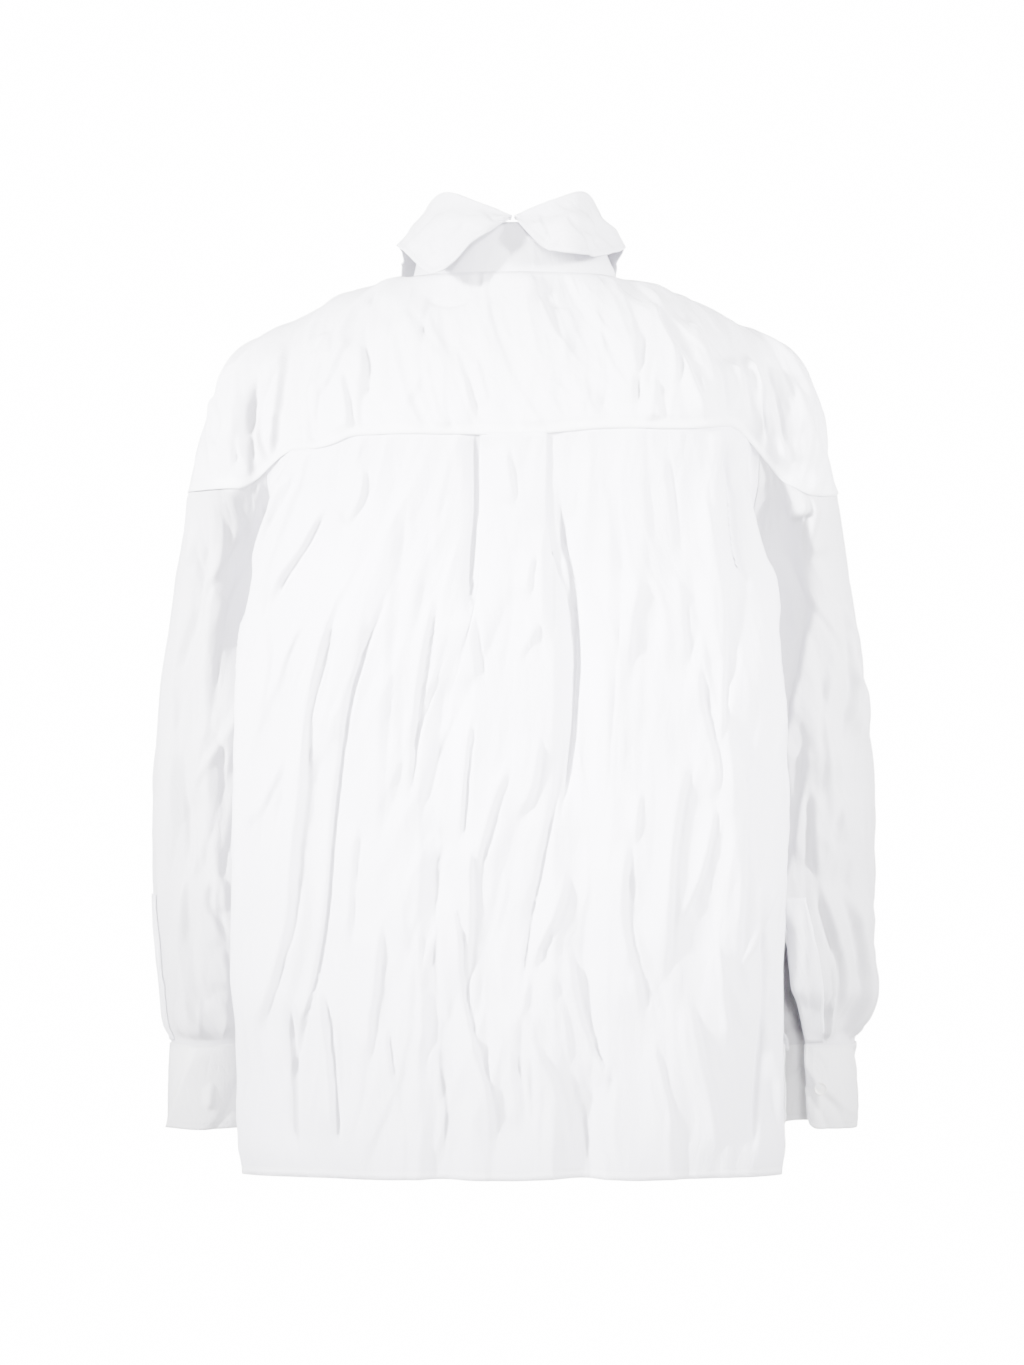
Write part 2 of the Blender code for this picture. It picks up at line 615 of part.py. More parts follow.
def draw_back(grid, edges, amount=SEAM_GAP):
    """Shortens a grid at some of its edges, along the cloth."""
    grid = grid.copy()
    turned = {
        "first": grid.transpose(1, 0, 2),
        "last": grid[:, ::-1].transpose(1, 0, 2),
        "top": grid,
        "bottom": grid[::-1],
    }
    for edge in edges:
        lines = turned[edge]
        inward = lines[1] - lines[0]
        lines[0] += amount * inward / np.linalg.norm(inward, axis=1, keepdims=True)
    return grid


# Solids


def cloth_material(name, colour, roughness):
    material = bpy.data.materials.new(name)
    material.use_nodes = True
    shader = material.node_tree.nodes["Principled BSDF"]
    shader.inputs["Base Color"].default_value = (*colour, 1.0)
    shader.inputs["Roughness"].default_value = roughness
    return material


def sheet(name, grid, wall, material, shared=None):
    """A cloth wall on a grid of points. shared gives points of the grid that are one corner, and points
    that stand for another one in the squares to their right."""
    mesh = bmesh.new()
    corners = [[mesh.verts.new(point) for point in row] for row in grid]
    squares = shared(mesh, corners) if shared else plain_squares(corners)
    for square in squares:
        mesh.faces.new(square)
    bmesh.ops.delete(mesh, geom=[v for v in mesh.verts if not v.link_faces], context="VERTS")
    data = bpy.data.meshes.new(name)
    mesh.to_mesh(data)
    mesh.free()
    piece = bpy.data.objects.new(name, data)
    piece.data.materials.append(material)
    bpy.data.collections[OBJECT_NAME].objects.link(piece)
    shell = piece.modifiers.new("wall", "SOLIDIFY")
    shell.thickness = wall
    shell.offset = 0
    shell.use_even_offset = True
    return piece


def plain_squares(corners):
    return [
        (corners[i][j], corners[i + 1][j], corners[i + 1][j + 1], corners[i][j + 1])
        for i in range(len(corners) - 1)
        for j in range(len(corners[0]) - 1)
    ]


def sleeve_squares(side, grid):
    """Squares of a sleeve: a whole ring below the underarm, and a slit that opens above the cuff."""

    def build(mesh, corners):
        rows, slit = len(corners), SLIT_COLUMN[side]
        for i in range(ARMHOLE_ROWS, rows):
            corners[i][-1] = corners[i][0]
        right_side = {}
        for i in range(rows - SLIT_ROWS, rows):
            part = (i - (rows - SLIT_ROWS) + 1) / SLIT_ROWS
            left, right = SLIT_SPREAD[side]
            right_side[i] = mesh.verts.new(read_grid(grid, i, slit + right * part))
            corners[i][slit].co = read_grid(grid, i, slit + left * part)
        squares = []
        for i in range(rows - 1):
            for j in range(ROUND_SLEEVE):
                ends = [(i, j), (i + 1, j), (i + 1, j + 1), (i, j + 1)]
                squares.append(
                    tuple(
                        right_side[a] if j == slit and b == slit and a in right_side else corners[a][b]
                        for a, b in ends
                    )
                )
        return squares

    return build


def turn_over(piece):
    """Turns the wearer's left sleeve into the right one."""
    for vertex in piece.data.vertices:
        vertex.co.x = -vertex.co.x
    piece.data.flip_normals()


def mirrored(grid):
    """A grid turned to the wearer's right, its outer face still outside."""
    return (grid * MIRROR)[:, ::-1]


def button(name, centre, out, material):
    """A flat round button with its axis along out."""
    mesh = bmesh.new()
    made = bmesh.ops.create_cone(
        mesh,
        cap_ends=True,
        segments=BUTTON_SEGMENTS,
        radius1=BUTTON_RADIUS,
        radius2=BUTTON_RADIUS * 0.86,
        depth=BUTTON_HEIGHT,
    )
    turn = mathutils.Vector((0, 0, 1)).rotation_difference(mathutils.Vector(out))
    bmesh.ops.rotate(mesh, verts=made["verts"], matrix=turn.to_matrix(), cent=(0, 0, 0))
    bmesh.ops.translate(mesh, verts=made["verts"], vec=mathutils.Vector(centre))
    data = bpy.data.meshes.new(name)
    mesh.to_mesh(data)
    mesh.free()
    piece = bpy.data.objects.new(name, data)
    piece.data.materials.append(material)
    bpy.data.collections[OBJECT_NAME].objects.link(piece)


def main():
    for old in list(bpy.data.objects):
        bpy.data.objects.remove(old)
    collection = bpy.data.collections.new(OBJECT_NAME)
    bpy.context.scene.collection.children.link(collection)
    cotton = cloth_material("white_cotton", (0.86, 0.86, 0.87), 0.9)
    plastic = cloth_material("button_plastic", (0.88, 0.87, 0.84), 0.4)

    sheet("yoke", draw_back(yoke_grid(), ("top", "bottom", "first", "last")), WALL, cotton)
    back = draw_back(draw_back(back_grid(), ("first", "last"), ARMHOLE_GAP), ("top",))
    sheet("back", back, WALL, cotton)

    fronts = {1: front_grid(0.0), -1: front_grid(FRONT_LEVEL)}
    for side, word in ((1, "left"), (-1, "right")):
        front = draw_back(draw_back(fronts[side], ("last",), ARMHOLE_GAP), ("top",))
        sleeve = sleeve_grid()
        sleeve[:ARMHOLE_ROWS] = draw_back(sleeve, ("first", "last"), ARMHOLE_GAP)[:ARMHOLE_ROWS]
        sleeve = draw_back(sleeve, ("top", "bottom"))
        sleeve[ARMHOLE_ROWS, [0, -1], 0] += 2 * ARMHOLE_GAP
        cuff, leaf = cuff_grid(side), leaf_grid(side)
        strip_rows = np.linspace(0, 1, 7)[:, None]
        top_row = ARMHOLE_ROWS + SLEEVE_ROWS * (UNDERARM - SLEEVE_PLACKET_TOP) / (UNDERARM - CUFF_TOP)
        last_row = ARMHOLE_ROWS + SLEEVE_ROWS
        rows = top_row + (last_row - 0.08 - top_row) * strip_rows
        start, end = SLEEVE_PLACKET_COLUMNS[side]
        across = SLIT_COLUMN[side] + start + (end - start) * np.linspace(0, 1, 4)
        strip = read_grid(sleeve, rows, across) + SLEEVE_LAP * read_grid(outward(sleeve), rows, across)
        if side < 0:
            front, cuff, leaf, strip = map(mirrored, (front, cuff, leaf, strip))
        build = sleeve_squares(side, sleeve)
        piece = sheet("sleeve_" + word, sleeve, WALL, cotton, build)
        if side < 0:
            turn_over(piece)
        sheet("front_" + word, front, WALL, cotton)
        sheet("cuff_" + word, cuff, BAND_WALL, cotton)
        sheet("collar_leaf_" + word, leaf, BAND_WALL, cotton)
        sheet("sleeve_placket_" + word, strip, BAND_WALL, cotton)
        j = 1.4 if side > 0 else CUFF_SEGMENTS - 1.4
        grid = cuff
        out = outward(grid)[CUFF_ROWS // 2, round(j)]
        spot = read_grid(grid, CUFF_ROWS / 2, round(j)) + out * (BAND_WALL / 2 + BUTTON_HEIGHT / 2 + 0.0008)
        button("button_cuff_" + word, spot, out, plastic)

    sheet("collar_stand", stand_grid(), BAND_WALL, cotton)

    front = fronts[1]
    heights = np.r_[PLACKET_TOP, front[1:, 1, 2]]
    strip = []
    for z in heights:
        column = []
        for x in np.linspace(-PLACKET_HALF, PLACKET_HALF, 4):
            spot = np.array([np.interp(x, [r[0] for r in row[:4]], np.arange(4)) for row in front])
            line = read_grid(front, np.arange(len(front)), spot)
            column.append([x, np.interp(-z, -line[:, 2], line[:, 1]) - LAP, z])
        strip.append(column)
    strip = np.array(strip)
    sheet("front_placket", strip, BAND_WALL, cotton)
    for k in range(BUTTON_COUNT):
        z = FIRST_BUTTON - k * BUTTON_PITCH
        y = np.interp(-z, -heights, strip[:, 1, 1])
        lift = BAND_WALL / 2 + BUTTON_HEIGHT / 2 + 0.0010
        button("button_front_%d" % (k + 1), (0.0, y - lift, z), (0, -1, 0), plastic)
    end = stand_grid()
    spot = read_grid(end, STAND_ROWS / 2, 1.2)
    lift = BAND_WALL / 2 + BUTTON_HEIGHT / 2 + 0.0018
    button("button_collar", spot + np.array([0, -lift, 0]), (0, -1, 0), plastic)


main()
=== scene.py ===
"""Crumpled white shirt, worn and hollow: the looks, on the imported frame."""

import math

import bmesh
import bpy
import mathutils
import numpy as np
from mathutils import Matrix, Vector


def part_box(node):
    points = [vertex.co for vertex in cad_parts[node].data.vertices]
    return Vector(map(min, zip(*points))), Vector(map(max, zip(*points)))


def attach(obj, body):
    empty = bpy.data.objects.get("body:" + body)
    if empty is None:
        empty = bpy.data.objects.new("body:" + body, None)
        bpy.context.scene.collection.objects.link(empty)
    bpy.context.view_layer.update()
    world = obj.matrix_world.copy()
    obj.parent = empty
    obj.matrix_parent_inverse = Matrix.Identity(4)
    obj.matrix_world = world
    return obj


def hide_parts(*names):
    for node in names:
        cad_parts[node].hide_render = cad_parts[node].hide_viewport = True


bl_info = {
    "name": "Crumpled Shirt",
    "version": (1, 0, 0),
    "blender": (4, 5, 0),
    "location": "3D View > Sidebar > Shirt",
    "description": "Builds a crumpled cotton shirt in a worn, hollow pose",
    "category": "Object",
}

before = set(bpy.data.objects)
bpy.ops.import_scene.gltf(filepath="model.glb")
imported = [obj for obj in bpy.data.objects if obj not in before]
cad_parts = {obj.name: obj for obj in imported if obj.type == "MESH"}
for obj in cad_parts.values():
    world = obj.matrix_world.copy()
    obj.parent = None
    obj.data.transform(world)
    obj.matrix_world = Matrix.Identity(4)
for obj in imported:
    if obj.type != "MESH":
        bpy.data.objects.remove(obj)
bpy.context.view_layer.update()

# Sizes of the cut, as the frame has them
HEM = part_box("back")[0][2]
CUFF_TOP, CUFF_BOTTOM = -0.604, -0.672
UNDERARM = -0.254
NECK_SEAM_ANGLE = math.radians(40)
ARMHOLE_BACK_X = 0.192
ARMHOLE_FRONT_X = 0.178
FRONT_LAP = 0.017
PLACKET_HALF = 0.0165

RING_COLUMNS = "at side_x side_y side_z back_y back_z front_y front_z square dent drop".split()
RING_ROWS = [
    (0.000, 0.0830, -0.004, 0.002, 0.061, 0.002, -0.080, -0.052, 2.00, 0.000, 0.0),
    (0.064, 0.1000, -0.004, -0.001, 0.068, -0.013, -0.085, -0.060, 2.00, 0.000, 0.0),
    (0.188, 0.1310, -0.005, -0.010, 0.077, -0.031, -0.090, -0.072, 2.05, 0.001, 0.0),
    (0.327, 0.1650, -0.006, -0.0235, 0.085, -0.050, -0.095, -0.085, 2.15, 0.003, 0.1),
    (0.459, 0.1960, -0.007, -0.039, 0.092, -0.069, -0.098, -0.098, 2.30, 0.006, 0.2),
    (0.575, 0.2210, -0.008, -0.058, 0.098, -0.087, -0.101, -0.112, 2.45, 0.012, 0.4),
    (0.741, 0.2400, -0.009, -0.098, 0.1025, -0.104, -0.103, -0.128, 2.55, 0.018, 0.6),
    (0.880, 0.2500, -0.010, -0.134, 0.1055, -0.116, -0.104, -0.142, 2.60, 0.022, 0.8),
    (1.000, 0.2565, -0.011, -0.166, 0.107, -0.1255, -0.105, -0.155, 2.60, 0.024, 1.0),
]
DENT_X, DENT_WIDTH = 0.190, 0.028
FALL_START, FALL_WIDTH = 0.165, 0.050

# How the yoke's lower seam wanders up and down, across the back from the wearer's right to left
SEAM_WANDER = [
    (-0.250, -0.004),
    (-0.232, -0.004),
    (-0.2145, 0.004),
    (-0.200, 0.009),
    (-0.175, 0.0085),
    (-0.146, 0.0055),
    (-0.068, 0.0045),
    (-0.013, 0.000),
    (0.050, 0.000),
    (0.104, 0.0000),
    (0.127, -0.0020),
    (0.140, -0.0075),
    (0.166, -0.0100),
    (0.188, -0.004),
    (0.205, 0.000),
    (0.250, 0.000),
]

SIDE_COLUMNS = "z x y".split()
SIDE_SEAM = [
    (-0.699, 0.166, 0.000),
    (-0.600, 0.165, 0.000),
    (-0.450, 0.161, -0.002),
    (-0.320, 0.164, -0.004),
    (-0.254, 0.173, -0.006),
]
BACK_COLUMNS = "z edge_x edge_y turn_x turn_y corner_x corner_y blade_x blade_y centre_y".split()
BACK_ROWS = [
    (-0.699, 0.166, 0.000, 0.197, 0.035, 0.2125, 0.056, 0.130, 0.101, 0.112),
    (-0.600, 0.165, 0.000, 0.197, 0.035, 0.2130, 0.056, 0.130, 0.102, 0.113),
    (-0.450, 0.161, -0.002, 0.197, 0.037, 0.2150, 0.058, 0.132, 0.102, 0.113),
    (-0.320, 0.164, -0.004, 0.193, 0.036, 0.2120, 0.058, 0.132, 0.102, 0.112),
    (-0.254, 0.173, -0.006, 0.189, 0.030, 0.2050, 0.054, 0.132, 0.101, 0.110),
    (-0.205, 0.184, 0.020, 0.190, 0.041, 0.1970, 0.056, 0.130, 0.099, 0.108),
    (-0.165, 0.190, 0.044, 0.191, 0.052, 0.1930, 0.061, 0.126, 0.098, 0.107),
]
FRONT_COLUMNS = "z edge_x edge_y breast_x breast_y chest_x chest_y centre_y".split()
FRONT_ROWS = [
    (-0.699, 0.166, 0.000, 0.160, -0.055, 0.100, -0.097, -0.106),
    (-0.600, 0.165, 0.000, 0.159, -0.055, 0.100, -0.098, -0.107),
    (-0.450, 0.161, -0.002, 0.157, -0.056, 0.100, -0.100, -0.109),
    (-0.320, 0.164, -0.004, 0.159, -0.058, 0.100, -0.103, -0.111),
    (-0.254, 0.173, -0.006, 0.158, -0.058, 0.100, -0.103, -0.111),
    (-0.205, 0.180, -0.043, 0.158, -0.078, 0.095, -0.101, -0.109),
    (-0.170, 0.179, -0.062, 0.150, -0.083, 0.088, -0.099, -0.106),
]
SLEEVE_COLUMNS = (
    "z behind_x behind_y back_x back_y outer_x outer_y front_x front_y fore_x fore_y".split()
)
SLEEVE_TABLE = [
    (-0.604, 0.2120, -0.012, 0.243, -0.003, 0.2745, -0.036, 0.243, -0.073, 0.2120, -0.062),
    (-0.590, 0.2070, -0.008, 0.242, 0.003, 0.2780, -0.034, 0.242, -0.077, 0.2070, -0.064),
    (-0.560, 0.2000, -0.002, 0.240, 0.012, 0.2820, -0.031, 0.240, -0.080, 0.2000, -0.066),
    (-0.500, 0.1960, 0.006, 0.237, 0.022, 0.2865, -0.028, 0.237, -0.082, 0.1960, -0.064),
    (-0.430, 0.1950, 0.010, 0.236, 0.026, 0.2880, -0.025, 0.234, -0.080, 0.1920, -0.060),
    (-0.340, 0.1930, 0.011, 0.232, 0.028, 0.2820, -0.020, 0.228, -0.077, 0.1870, -0.056),
    (-0.254, 0.2020, 0.005, 0.232, 0.031, 0.2710, -0.014, 0.226, -0.069, 0.1960, -0.042),
    (-0.205, 0.2090, 0.022, 0.232, 0.036, 0.2625, -0.011, 0.220, -0.068, 0.1930, -0.056),
    (-0.160, 0.2070, 0.048, 0.227, 0.051, 0.2560, -0.011, 0.216, -0.071, 0.1930, -0.066),
]
SLEEVE_SEAM = [
    (-0.604, 0.2030, -0.036),
    (-0.560, 0.1880, -0.030),
    (-0.430, 0.1760, -0.024),
    (-0.340, 0.1800, -0.018),
    (-0.254, 0.1760, -0.006),
]
CUFF_COLUMNS = "z outer inner back front".split()
CUFF_SECTIONS = [
    (-0.672, 0.2765, 0.2060, -0.001, -0.073),
    (-0.655, 0.2770, 0.2050, 0.000, -0.074),
    (-0.604, 0.2750, 0.2040, -0.001, -0.073),
]
CUFF_OPEN = {1: (0.47, 0.55), -1: (0.13, 0.21)}
CUFF_CORNER = 0.010
SLIT_AT = {1: 0.50, -1: 0.167}  # share of the way round the sleeve
SLIT_TOP = -0.49
SLIT_SPREAD = {1: (-0.017, 0.050), -1: (-0.022, 0.045)}

# The box pleat: turns of the cloth from outside the box inwards, as place and level, shut and open
PLEAT_SHUT = [(0.0300, -0.0014), (0.0130, -0.0014), (0.0130, -0.0002), (0.0255, -0.0002), (0.0257, 0.0010)]
PLEAT_OPEN = [(0.072, 0.001), (0.060, -0.007), (0.055, -0.0075), (0.047, -0.0050), (0.031, 0.003)]
PLEAT_CENTRE = 0.0022
PLEAT_OPENING = {
    1: [(-0.42, 1.0), (-0.335, 0.8), (-0.295, 0.55), (-0.254, 0.25), (-0.218, 0.06), (-0.200, 0.0)],
    -1: [(-0.38, 1.0), (-0.295, 0.85), (-0.250, 0.6), (-0.215, 0.3), (-0.190, 0.08), (-0.175, 0.0)],
}

# Collar
STAND_LEAN, STAND_SIDE_LEAN = 0.007, 0.009
STAND_BACK_HEIGHT, STAND_FRONT_HEIGHT = 0.0385, 0.032
STAND_FRONT_REACH = 0.015
LEAF_ROWS_BY_SIDE = {
    1: [
        (0.0014, 0.0560, 0.0450, 0.0040, 0.0600, 0.0405),
        (0.0280, 0.0560, 0.0555, 0.0330, 0.0740, 0.0200),
        (0.0530, 0.0450, 0.0640, 0.0600, 0.0780, -0.0020),
        (0.0665, 0.0220, 0.0550, 0.0850, 0.0400, 0.0190),
        (0.0690, -0.0080, 0.0465, 0.0880, 0.0000, 0.0230),
        (0.0640, -0.0380, 0.0330, 0.0850, -0.0440, 0.0020),
        (0.0410, -0.0620, 0.0120, 0.0690, -0.0880, -0.0250),
        (0.0070, -0.0760, -0.0080, 0.0420, -0.1140, -0.0640),
    ],
    -1: [
        (0.0014, 0.0560, 0.0445, 0.0040, 0.0600, 0.0400),
        (0.0280, 0.0560, 0.0560, 0.0230, 0.0730, 0.0190),
        (0.0545, 0.0440, 0.0640, 0.0450, 0.0790, 0.0110),
        (0.0655, 0.0220, 0.0540, 0.0780, 0.0460, 0.0160),
        (0.0680, -0.0080, 0.0455, 0.0830, 0.0000, 0.0220),
        (0.0630, -0.0380, 0.0330, 0.0820, -0.0440, 0.0020),
        (0.0410, -0.0620, 0.0120, 0.0670, -0.0880, -0.0250),
        (0.0070, -0.0760, -0.0080, 0.0420, -0.1140, -0.0640),
    ],
}
LEAF_TURN = 0.0030

# Main creases, in millimetres: how wide the slopes are, how high it stands (below nought, a trough), how much
# steeper its slope towards -x is, then places (x, z) down its line
BACK_CREASES = [
    (30, 7.5, 0.35, (114, -215), (145, -300), (163, -400), (172, -500), (205, -640)),
    (7, -4.5, 0.0, (29, -112), (28, -150), (28, -185), (31, -220), (33, -275)),
    (
        *(10, 4.5, 0.72),
        *((119, -229), (135, -257), (144, -290), (156, -341), (160, -398), (165, -443), (169, -500)),
    ),
    (9, 3.5, 0.65, (165, -440), (170, -500), (186, -557), (198, -593)),
    (8, 3.2, 0.70, (168, -152), (183, -185), (195, -209), (199, -239)),
    (7, 3.0, 0.70, (144, -179), (166, -218), (180, -239), (189, -260)),
    (6, 2.6, 0.72, (115, -152), (118, -179), (129, -197)),
    (14, 3.0, 0.55, (121, -257), (123, -299), (132, -323), (138, -368)),
    (8, 2.0, 0.50, (75, -233), (76, -255), (78, -278)),
    (9, 4.2, 0.72, (60, -245), (67, -281), (75, -329), (79, -374), (82, -410)),
    (5, -1.6, 0.50, (50, -285), (62, -325), (76, -365), (82, -385)),
    (14, 3.0, 0.65, (36, -262), (33, -293), (28, -323)),
    (9, 4.0, 0.72, (33, -341), (37, -377), (40, -413), (42, -443)),
    (7, 4.0, 0.72, (34, -437), (33, -473), (35, -533), (38, -560)),
    (10, 5.0, 0.76, (52, -473), (43, -509), (39, -557), (33, -587), (21, -629), (14, -682)),
    (
        *(20, -7.5, 0.20),
        *((-34, -160), (-40, -205), (-47, -240), (-50, -280), (-49, -330), (-44, -380), (-34, -430)),
    ),
    (15, -4.0, -0.2, (-44, -340), (-32, -410), (-18, -480), (-4, -570)),
    (7, 4.0, 0.60, (-42, -462), (-36, -485), (-24, -512), (-12, -541)),
    (7, 3.5, 0.72, (-20, -359), (-18, -383), (-12, -407), (0, -422)),
    (7, 3.2, 0.72, (3, -380), (15, -410), (24, -443), (30, -467)),
    (5, 2.0, 0.70, (-20, -272), (-12, -287), (-2, -299)),
    (9, 2.6, 0.40, (-22, -196), (-22, -230), (-23, -290)),
    (6, 2.0, 0.60, (-15, -218), (-12, -234), (-11, -252)),
    (9, 4.2, 0.72, (-42, -520), (-51, -572), (-63, -605), (-76, -629)),
    (9, 4.0, 0.72, (-13, -593), (-31, -626), (-40, -668), (-41, -685)),
    (12, 4.2, 0.65, (-86, -435), (-83, -503), (-93, -548), (-100, -580)),
    (7, 2.6, 0.65, (-101, -236), (-93, -257), (-90, -281), (-89, -303)),
    (5, 2.4, 0.70, (-97, -402), (-95, -420), (-93, -441)),
    (11, 4.2, 0.66, (-136, -365), (-127, -407), (-120, -458), (-117, -518), (-114, -553)),
    (7, 3.6, 0.70, (-156, -408), (-148, -449), (-138, -482), (-125, -506)),
    (5, 2.8, 0.70, (-147, -150), (-150, -191), (-157, -224), (-161, -263), (-160, -323), (-156, -383)),
    (9, 3.2, 0.62, (-140, -299), (-143, -338), (-152, -374), (-155, -413)),
    (15, -5.5, -0.45, (-163, -128), (-169, -160), (-173, -200), (-178, -245)),
    (9, 3.0, 0.60, (-164, -355), (-174, -395), (-175, -443), (-172, -540)),
    (6, 3.2, 0.70, (-157, -515), (-162, -563), (-168, -600)),
    (8, 3.4, 0.66, (-208, -470), (-193, -509), (-174, -541)),
    (18, -5.0, -0.2, (-192, -470), (-196, -560), (-190, -640), (-184, -690)),
    (9, 4.8, 0.70, (152, -545), (147, -569), (144, -593), (140, -640), (137, -682)),
    (14, -3.5, 0.0, (172, -560), (168, -620), (166, -690)),
    (7, 3.8, 0.72, (102, -500), (105, -548), (109, -578), (111, -615)),
    (5, 2.6, 0.70, (99, -583), (96, -605), (92, -629)),
    (4, 1.6, 0.60, (72, -563), (69, -582), (67, -602)),
    (5, 2.2, 0.60, (173, -378), (185, -402), (195, -419), (207, -429)),
    (10, 3.0, 0.50, (0, -560), (2, -610), (-4, -665)),
    (8, 2.6, 0.55, (62, -610), (56, -640), (60, -690)),
    (9, 3.0, 0.55, (-132, -555), (-141, -600), (-152, -650), (-158, -692)),
    (6, 2.4, 0.60, (-105, -590), (-116, -630), (-124, -676)),
    (12, 2.8, 0.50, (-70, -150), (-74, -230), (-68, -330), (-62, -440)),
    (10, 2.2, 0.50, (88, -150), (92, -210), (98, -290), (104, -380), (106, -440)),
    (8, 2.4, 0.60, (120, -420), (125, -470), (128, -525)),
    (6, 2.0, 0.60, (196, -262), (187, -300), (192, -340)),
    (6, 2.0, 0.60, (160, -270), (173, -300), (186, -330), (206, -350)),
    (9, 2.2, 0.50, (-112, -135), (-118, -175), (-124, -230)),
    (6, 1.8, 0.60, (-128, -235), (-130, -270), (-133, -300)),
    (7, 2.2, 0.55, (8, -135), (3, -160), (0, -182)),
]

YOKE_CREASES = [
    (9, 4.0, 0.70, (182, -45), (186, -91), (188, -118), (194, -148)),
    (12, -2.5, 0.0, (201, -85), (204, -115), (202, -150)),
    (8, 1.6, 0.40, (199, -64), (223, -76), (236, -86)),
    (8, 3.2, 0.60, (236, -92), (231, -112), (232, -135)),
    (5, 1.8, 0.50, (219, -92), (219, -120), (221, -156)),
    (8, 2.2, 0.50, (147, -42), (146, -55), (148, -68)),
    (7, 2.8, 0.60, (128, -48), (140, -74), (151, -94)),
    (6, 2.6, 0.68, (119, -52), (115, -87), (117, -100)),
    (7, 3.0, 0.66, (134, -76), (129, -104), (127, -127)),
    (8, 2.0, 0.50, (152, -82), (157, -100), (158, -118)),
    (12, 2.0, 0.60, (86, -28), (74, -50), (58, -72)),
    (6, 1.8, 0.66, (48, -55), (39, -80), (33, -105), (29, -120)),
    (5, 1.4, 0.66, (30, -66), (25, -84), (20, -106)),
    (7, 3.6, 0.72, (-104, -18), (-115, -44), (-122, -63), (-125, -90)),
    (8, 3.0, 0.68, (-118, -48), (-130, -70), (-140, -94), (-149, -120)),
    (9, 2.4, 0.60, (-97, -44), (-92, -74), (-91, -108)),
    (7, 2.0, 0.60, (-107, -86), (-111, -105), (-113, -119)),
    (12, 3.6, 0.55, (-140, -28), (-146, -56), (-156, -90), (-158, -116)),
    (9, 5.5, 0.74, (-182, -58), (-191, -85), (-190, -107), (-194, -134)),
    (8, -3.0, -0.4, (-198, -60), (-206, -95), (-214, -141)),
    (7, 3.0, 0.70, (-199, -104), (-207, -125), (-216, -150)),
    (9, 3.0, 0.60, (-172, -60), (-175, -90), (-178, -116)),
    (9, 3.2, 0.60, (-226, -78), (-232, -112), (-240, -150)),
    (16, -2.4, 0.0, (70, -14), (48, -22), (30, -18)),
    (16, -2.6, 0.0, (-14, -12), (-34, -24), (-60, -16)),
    (10, 2.2, 0.50, (100, -26), (104, -60), (101, -110)),
    (10, 1.6, 0.50, (-62, -50), (-66, -80), (-60, -112)),
]
FRONT_CREASES = [
    (14, 5, -0.3, (70, -110), (78, -260), (66, -430)),
    (16, -5, 0.0, (105, -150), (118, -300), (112, -480)),
    (12, 5.5, 0.3, (130, -200), (128, -340), (140, -520)),
    (16, 6, -0.4, (60, -420), (75, -560), (70, -695)),
    (13, 5, 0.3, (98, -470), (95, -590), (108, -698)),
    (12, 4.5, -0.3, (135, -500), (128, -600), (132, -698)),
    (12, 3.5, -0.3, (85, -130), (120, -185), (160, -235)),
    (12, 3.5, 0.3, (50, -260), (52, -350), (47, -450)),
]

# Creases all round each sleeve: x is how far round a 300 mm sleeve, from the back of the armhole
SLEEVE_CREASES = {
    1: [
        (12, 5, 0.3, (108, -180), (99, -300), (108, -430)),
        (12, 5, -0.3, (72, -200), (81, -330), (72, -520)),
        (12, 4.5, -0.3, (135, -260), (126, -400), (138, -590)),
        (10, 4, 0.3, (48, -280), (54, -420), (48, -580)),
        (13, 5, 0.3, (168, -200), (180, -360), (168, -560)),
        (13, 5, -0.3, (216, -220), (210, -370), (222, -560)),
        (10, 4, 0.3, (258, -300), (252, -430), (264, -590)),
        (6, 4.5, 0.3, (90, -195), (108, -222), (126, -235)),
    ],
    -1: [
        (9, 6, 0.4, (69, -225), (84, -310), (99, -400)),
        (8, 4.5, 0.4, (114, -255), (111, -320), (114, -385)),
        (12, 5.5, -0.3, (48, -300), (60, -420), (51, -590)),
        (12, 5.5, 0.3, (90, -400), (81, -500), (87, -600)),
        (12, 5, -0.3, (126, -380), (132, -490), (120, -600)),
        (13, 5, 0.3, (168, -200), (174, -380), (168, -570)),
        (13, 5, -0.3, (222, -220), (210, -390), (219, -570)),
        (10, 4, 0.3, (261, -300), (255, -430), (264, -590)),
    ],
}
